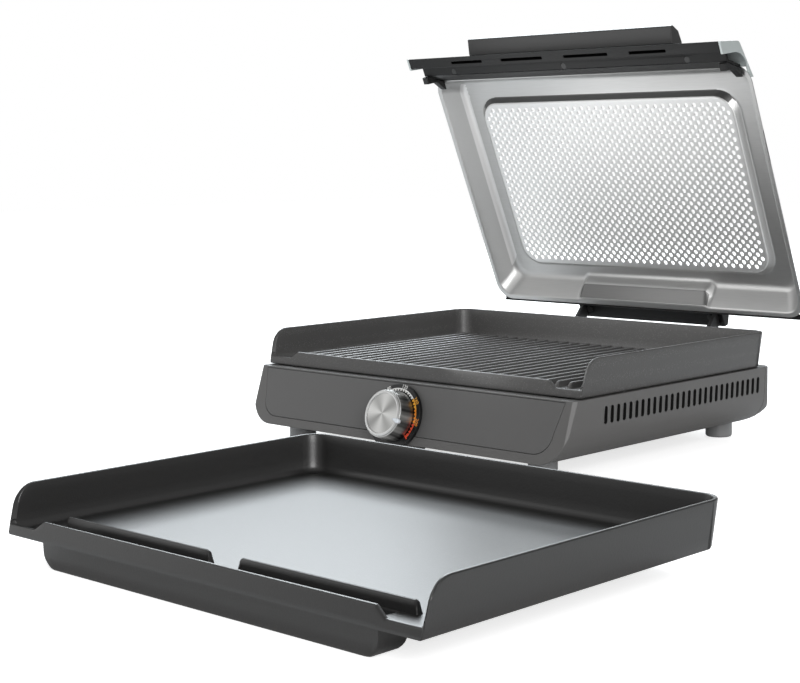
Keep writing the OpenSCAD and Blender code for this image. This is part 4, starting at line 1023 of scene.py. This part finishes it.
# (size of the outline, height) of each level of a drop with a blunt outer end
POINTER = [(0.9, TOP - 1.6), (1.0, TOP - 1.2), (1.0, TOP + 1.4), (0.93, TOP + 1.9),
           (0.75, TOP + 2.2), (0.4, TOP + 2.35)]
size, height = np.array(POINTER).T[:, :, None]
t = np.linspace(0, 2 * np.pi, 40, endpoint=False)
u = POINTER_OUT + POINTER_HALF * size * np.cos(t)
v = POINTER_WIDE * size * np.sin(t) * (0.6 + 0.4 * np.cos(t))
c, s = math.cos(POINTER_TURN), math.sin(POINTER_TURN)
drop = np.stack([u * c - v * s, u * s + v * c, height + 0 * t], -1)
drop_points, drop_faces = grid_block(drop, wrap=True)
points = np.concatenate([drop_points, [drop[0].mean(0)], [drop[-1].mean(0)]])
edge = np.arange(len(t))
fans = [np.stack([edge + first, np.roll(edge, -1) + first, 0 * edge + tip], -1)
        for first, tip in [(0, len(points) - 2), (drop_points.shape[0] - len(t), len(points) - 1)]]
make_piece("knob_pointer_moulded", [(points, drop_faces, *fans)], on_knob, "knob",
           [pointer_finish], "knob_pointer", smooth=50)

# %% [markdown]
# The dial's print is a white, amber, orange and red arc with short dark teeth on its inner edge,
# and four plain numbers. Each mark is a thin raised film, 0.12 mm thick, made as a small polar
# grid with its underside and its edge. The numbers are text made into meshes.

# %% Dial ring
DIAL = [(8.0, 0.05), (28.7, 0.05), (29.1, 0.3), (29.2, 0.8), (29.2, 3.2), (29.0, 3.7), (28.5, 4.0),
        (8.0, 4.0), (8.0, 0.05)]
make_piece("dial_ring_turned", [lathe(DIAL)], on_knob, "base", [dial_finish], "dial_ring")

# %% Printed arc
FILM_TOP, TEETH_TOP, FILM_THICK = 4.09, 4.13, 0.12
ARC_RADII, TOOTH_RADII, TOOTH_HALF = [23.2, 25.5], [23.1, 24.5], 1.6


def band(start, end):
    """Radii and angles of a stretch of the arc, in steps of about 3 degrees."""
    return ARC_RADII, np.linspace(start, end, max(3, int(abs(start - end) / 3)))


def tooth(at):
    """Radii and angles of a tooth on the arc's inner edge."""
    return TOOTH_RADII, [at - TOOTH_HALF, at + TOOTH_HALF]


def film(name, material, patches, top=FILM_TOP):
    """A printed film. Each patch is radii and angles in degrees of a polar grid, whose points are
    the radius times the cosine and sine of the angle, closed by an underside and an edge."""
    blocks = []
    for radii, degrees in patches:
        a, r = np.meshgrid(np.radians(degrees), radii)
        upper = np.stack([r * np.cos(a), r * np.sin(a), 0 * r + top], -1)
        points, quads = grid_block(upper)
        rows, cols = a.shape
        edge = np.concatenate([np.arange(cols), np.arange(1, rows) * cols + cols - 1,
                               (rows - 1) * cols + np.arange(cols - 1)[::-1],
                               np.arange(1, rows - 1)[::-1] * cols])
        after = np.roll(edge, -1)
        below = len(points)
        sides = np.stack([edge, edge + below, after + below, after], -1)
        both = np.concatenate([points, points - [0, 0, FILM_THICK]])
        blocks.append((both, quads, quads[:, ::-1] + below, sides))
    make_piece(name, blocks, on_knob, "base", [material])


white_print = finish("white print", (0.85, 0.85, 0.83), 0.5, bump=0.02)
orange_print = finish("orange print", (0.86, 0.27, 0.02), 0.5, bump=0.02)
amber_print = finish("amber print", (0.9, 0.42, 0.04), 0.5, bump=0.02)
red_print = finish("red print", (0.66, 0.06, 0.02), 0.5, bump=0.02)
arc_end = ([22.4, 25.5, 26.6], [-40.2, -42, -43.5])
film("dial_arc_white", white_print, [band(118, 44.6)])
film("dial_arc_amber", amber_print, [band(44.4, 20.2)])
film("dial_arc_orange", orange_print, [band(20.0, -8.8)])
film("dial_arc_red", red_print, [band(-9.0, -40), arc_end])
film("dial_teeth", dial_finish, [tooth(at) for at in np.arange(113, -34, -7.6)], TEETH_TOP)
film("dial_start_mark", white_print, [([26.0, 27.6], [-149.5, -146.8, -144])])

# %% Numbers on the dial
NUMBER_SIZE, NUMBER_Z, NUMBER_RAISE = 4.6, 4.02, 0.05


def number(text, degrees, radius, material):
    """A plain number as a thin solid film at an angle and a radius, its foot towards the centre."""
    curve = bpy.data.curves.new("number " + text, "FONT")
    curve.body = text
    curve.size = NUMBER_SIZE * MM
    curve.align_x = "CENTER"
    curve.align_y = "CENTER"
    curve.extrude = NUMBER_RAISE * MM
    curve.resolution_u = 4
    holder = new_object("number " + text, curve)
    bpy.context.view_layer.update()
    mesh = bpy.data.meshes.new_from_object(holder)
    bpy.data.objects.remove(holder)
    bpy.data.curves.remove(curve)
    x, y, z = (mesh_points(mesh) / MM).T
    a = math.radians(degrees)
    c, s = math.sin(a), -math.cos(a)
    at = np.array([radius * math.cos(a), radius * math.sin(a), NUMBER_Z])
    points = np.column_stack([c * x - s * y, s * x + c * y, z]) + at
    mesh.vertices.foreach_set("co", (on_knob(points) * MM).ravel())
    mesh.materials.clear()
    mesh.materials.append(material)
    open_edges = merge_mesh(mesh, 1e-7)
    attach(new_object("number_" + text, mesh), "base")
    print("number", text, "open edges:", open_edges)


number("80", 118.8, 27.2, white_print)
number("120", 79, 27.3, white_print)
number("160", 36.1, 27.3, amber_print)
number("200", -5, 27.3, orange_print)

# %% [markdown]
# ## Soft edges on the drawn solids
#
# The drawn solids have knife-sharp edges, and moulded and bent parts never do. The larger ones
# are shown by a merged copy with a small live bevel, which catches the thin light line that a
# real edge shows. The bevel is limited by a weight on each edge, so that the 56 narrow vent
# slots, which a rounding would close, can stay crisp. Their walls are painted near black as shade.

# %% Rounded copies
SHARP, BEVEL_STEPS = math.radians(26), 3
FLAT = math.radians(0.4)
# low and high corner of the box round one side's vents, with x from the middle outwards
VENTS = ((183, -105, 44.2), (190.5, 132, 59.8))


def in_vents(point):
    """Whether a point in mm, its x taken as its distance from the middle, is among the vents."""
    folded = (abs(point[0]), point[1], point[2])
    return all(low <= value <= high for low, value, high in zip(VENTS[0], folded, VENTS[1]))


def soften(node, width, material):
    """A merged copy of a solid with its edges rounded by a live bevel, in the solid's place."""
    source = frame["nodes"][node]
    mesh = source.data.copy()
    mesh.name = node + "_soft"
    bm = bmesh.new()
    bm.from_mesh(mesh)
    bmesh.ops.remove_doubles(bm, verts=bm.verts, dist=2e-6)
    bmesh.ops.dissolve_limit(bm, angle_limit=FLAT, verts=bm.verts, edges=bm.edges)
    weight = bm.edges.layers.float.new("bevel_weight_edge")
    for edge in bm.edges:
        crisp = node == "housing_shell" and all(in_vents(np.array(v.co) / MM) for v in edge.verts)
        if edge.calc_face_angle(0) > SHARP and not crisp:
            edge[weight] = 1.0
    bm.to_mesh(mesh)
    bm.free()
    mesh.shade_smooth()
    mesh.set_sharp_from_angle(angle=SHARP)
    mesh.materials.clear()
    mesh.materials.append(material)
    piece = new_object(node + "_soft", mesh)
    bevel = piece.modifiers.new("rounded edges", "BEVEL")
    bevel.width = width * MM
    bevel.segments = BEVEL_STEPS
    bevel.limit_method = "WEIGHT"
    bevel.use_clamp_overlap = False
    bevel.harden_normals = True
    bevel.miter_outer = "MITER_ARC"
    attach(piece, source["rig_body"])
    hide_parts(node)
    print(f"{piece.name}: {len(mesh.polygons)} faces before the bevel of {width} mm")


for node, width, slot, material in [
        ("housing_shell", 0.7, "housing", housing_finish), ("front_panel", 0.4, "panel", panel_finish),
        ("rear_cover", 0.7, "housing", housing_finish), ("front_shell", 0.4, "shell", shell_finish),
        ("front_trim", 0.4, "trim", trim_finish), ("grip", 1.2, "trim", grip_finish),
        ("corner_seals", 0.4, "seal", seal_finish), ("hinge_cover", 1.0, "trim", trim_finish),
        ("hinge_block", 0.6, "trim", trim_finish), ("hinge_arms", 0.4, "arm", arm_finish),
        ("feet", 0.8, "foot", foot_finish), ("rear_trim", 0.5, "trim", trim_finish)]:
    soften(node, width, material)

# %% Painted shade on the walls of the vents
housing = bpy.data.objects["housing_shell_soft"].data
housing.materials.append(vent_painted_shade)
vent_walls = [face for face in housing.polygons
              if abs(face.normal.x) < 0.5 and in_vents(np.array(face.center) / MM)]
for face in vent_walls:
    face.material_index = 1
print("vent walls:", len(vent_walls))

# %% [markdown]
# ## Materials of the other solids
#
# Every other solid keeps its own mesh and takes a finished material. Most of them are inside the
# base and show only when a plate is lifted off.

# %% Materials of the other solids
FINISHES = {
    "bottom_cover": under_finish, "foot_screws": steel_finish, "bottom_screws": steel_finish,
    "rear_screws": dark_steel, "trim_screws": dark_steel, "top_deck": tray_finish,
    "plate_rests": silicone_finish, "reflector_tray": tray_finish,
    "heating_element": element_finish, "element_clamps": steel_finish,
    "element_insulators": ceramic_finish, "thermostat": ceramic_finish,
    "thermostat_nut": steel_finish, "sensor_bulb": copper_finish, "sensor_clips": steel_finish,
    "thermal_fuse": ceramic_finish, "terminal_block": ceramic_finish, "lead_wires": wire_finish,
    "cord_gland": rubber_finish, "knob_spindle": steel_finish, "knob_clip": steel_finish,
    "hinge_pins": steel_finish, "hinge_washers": steel_finish, "hinge_screws": steel_finish,
    "hinge_bushes": bush_finish, "arm_screws": dark_steel}
for node, material in FINISHES.items():
    for mesh_slot in frame["nodes"][node].material_slots:
        mesh_slot.material = material
print("finished solids:", len(FINISHES), "of", len(frame["nodes"]))
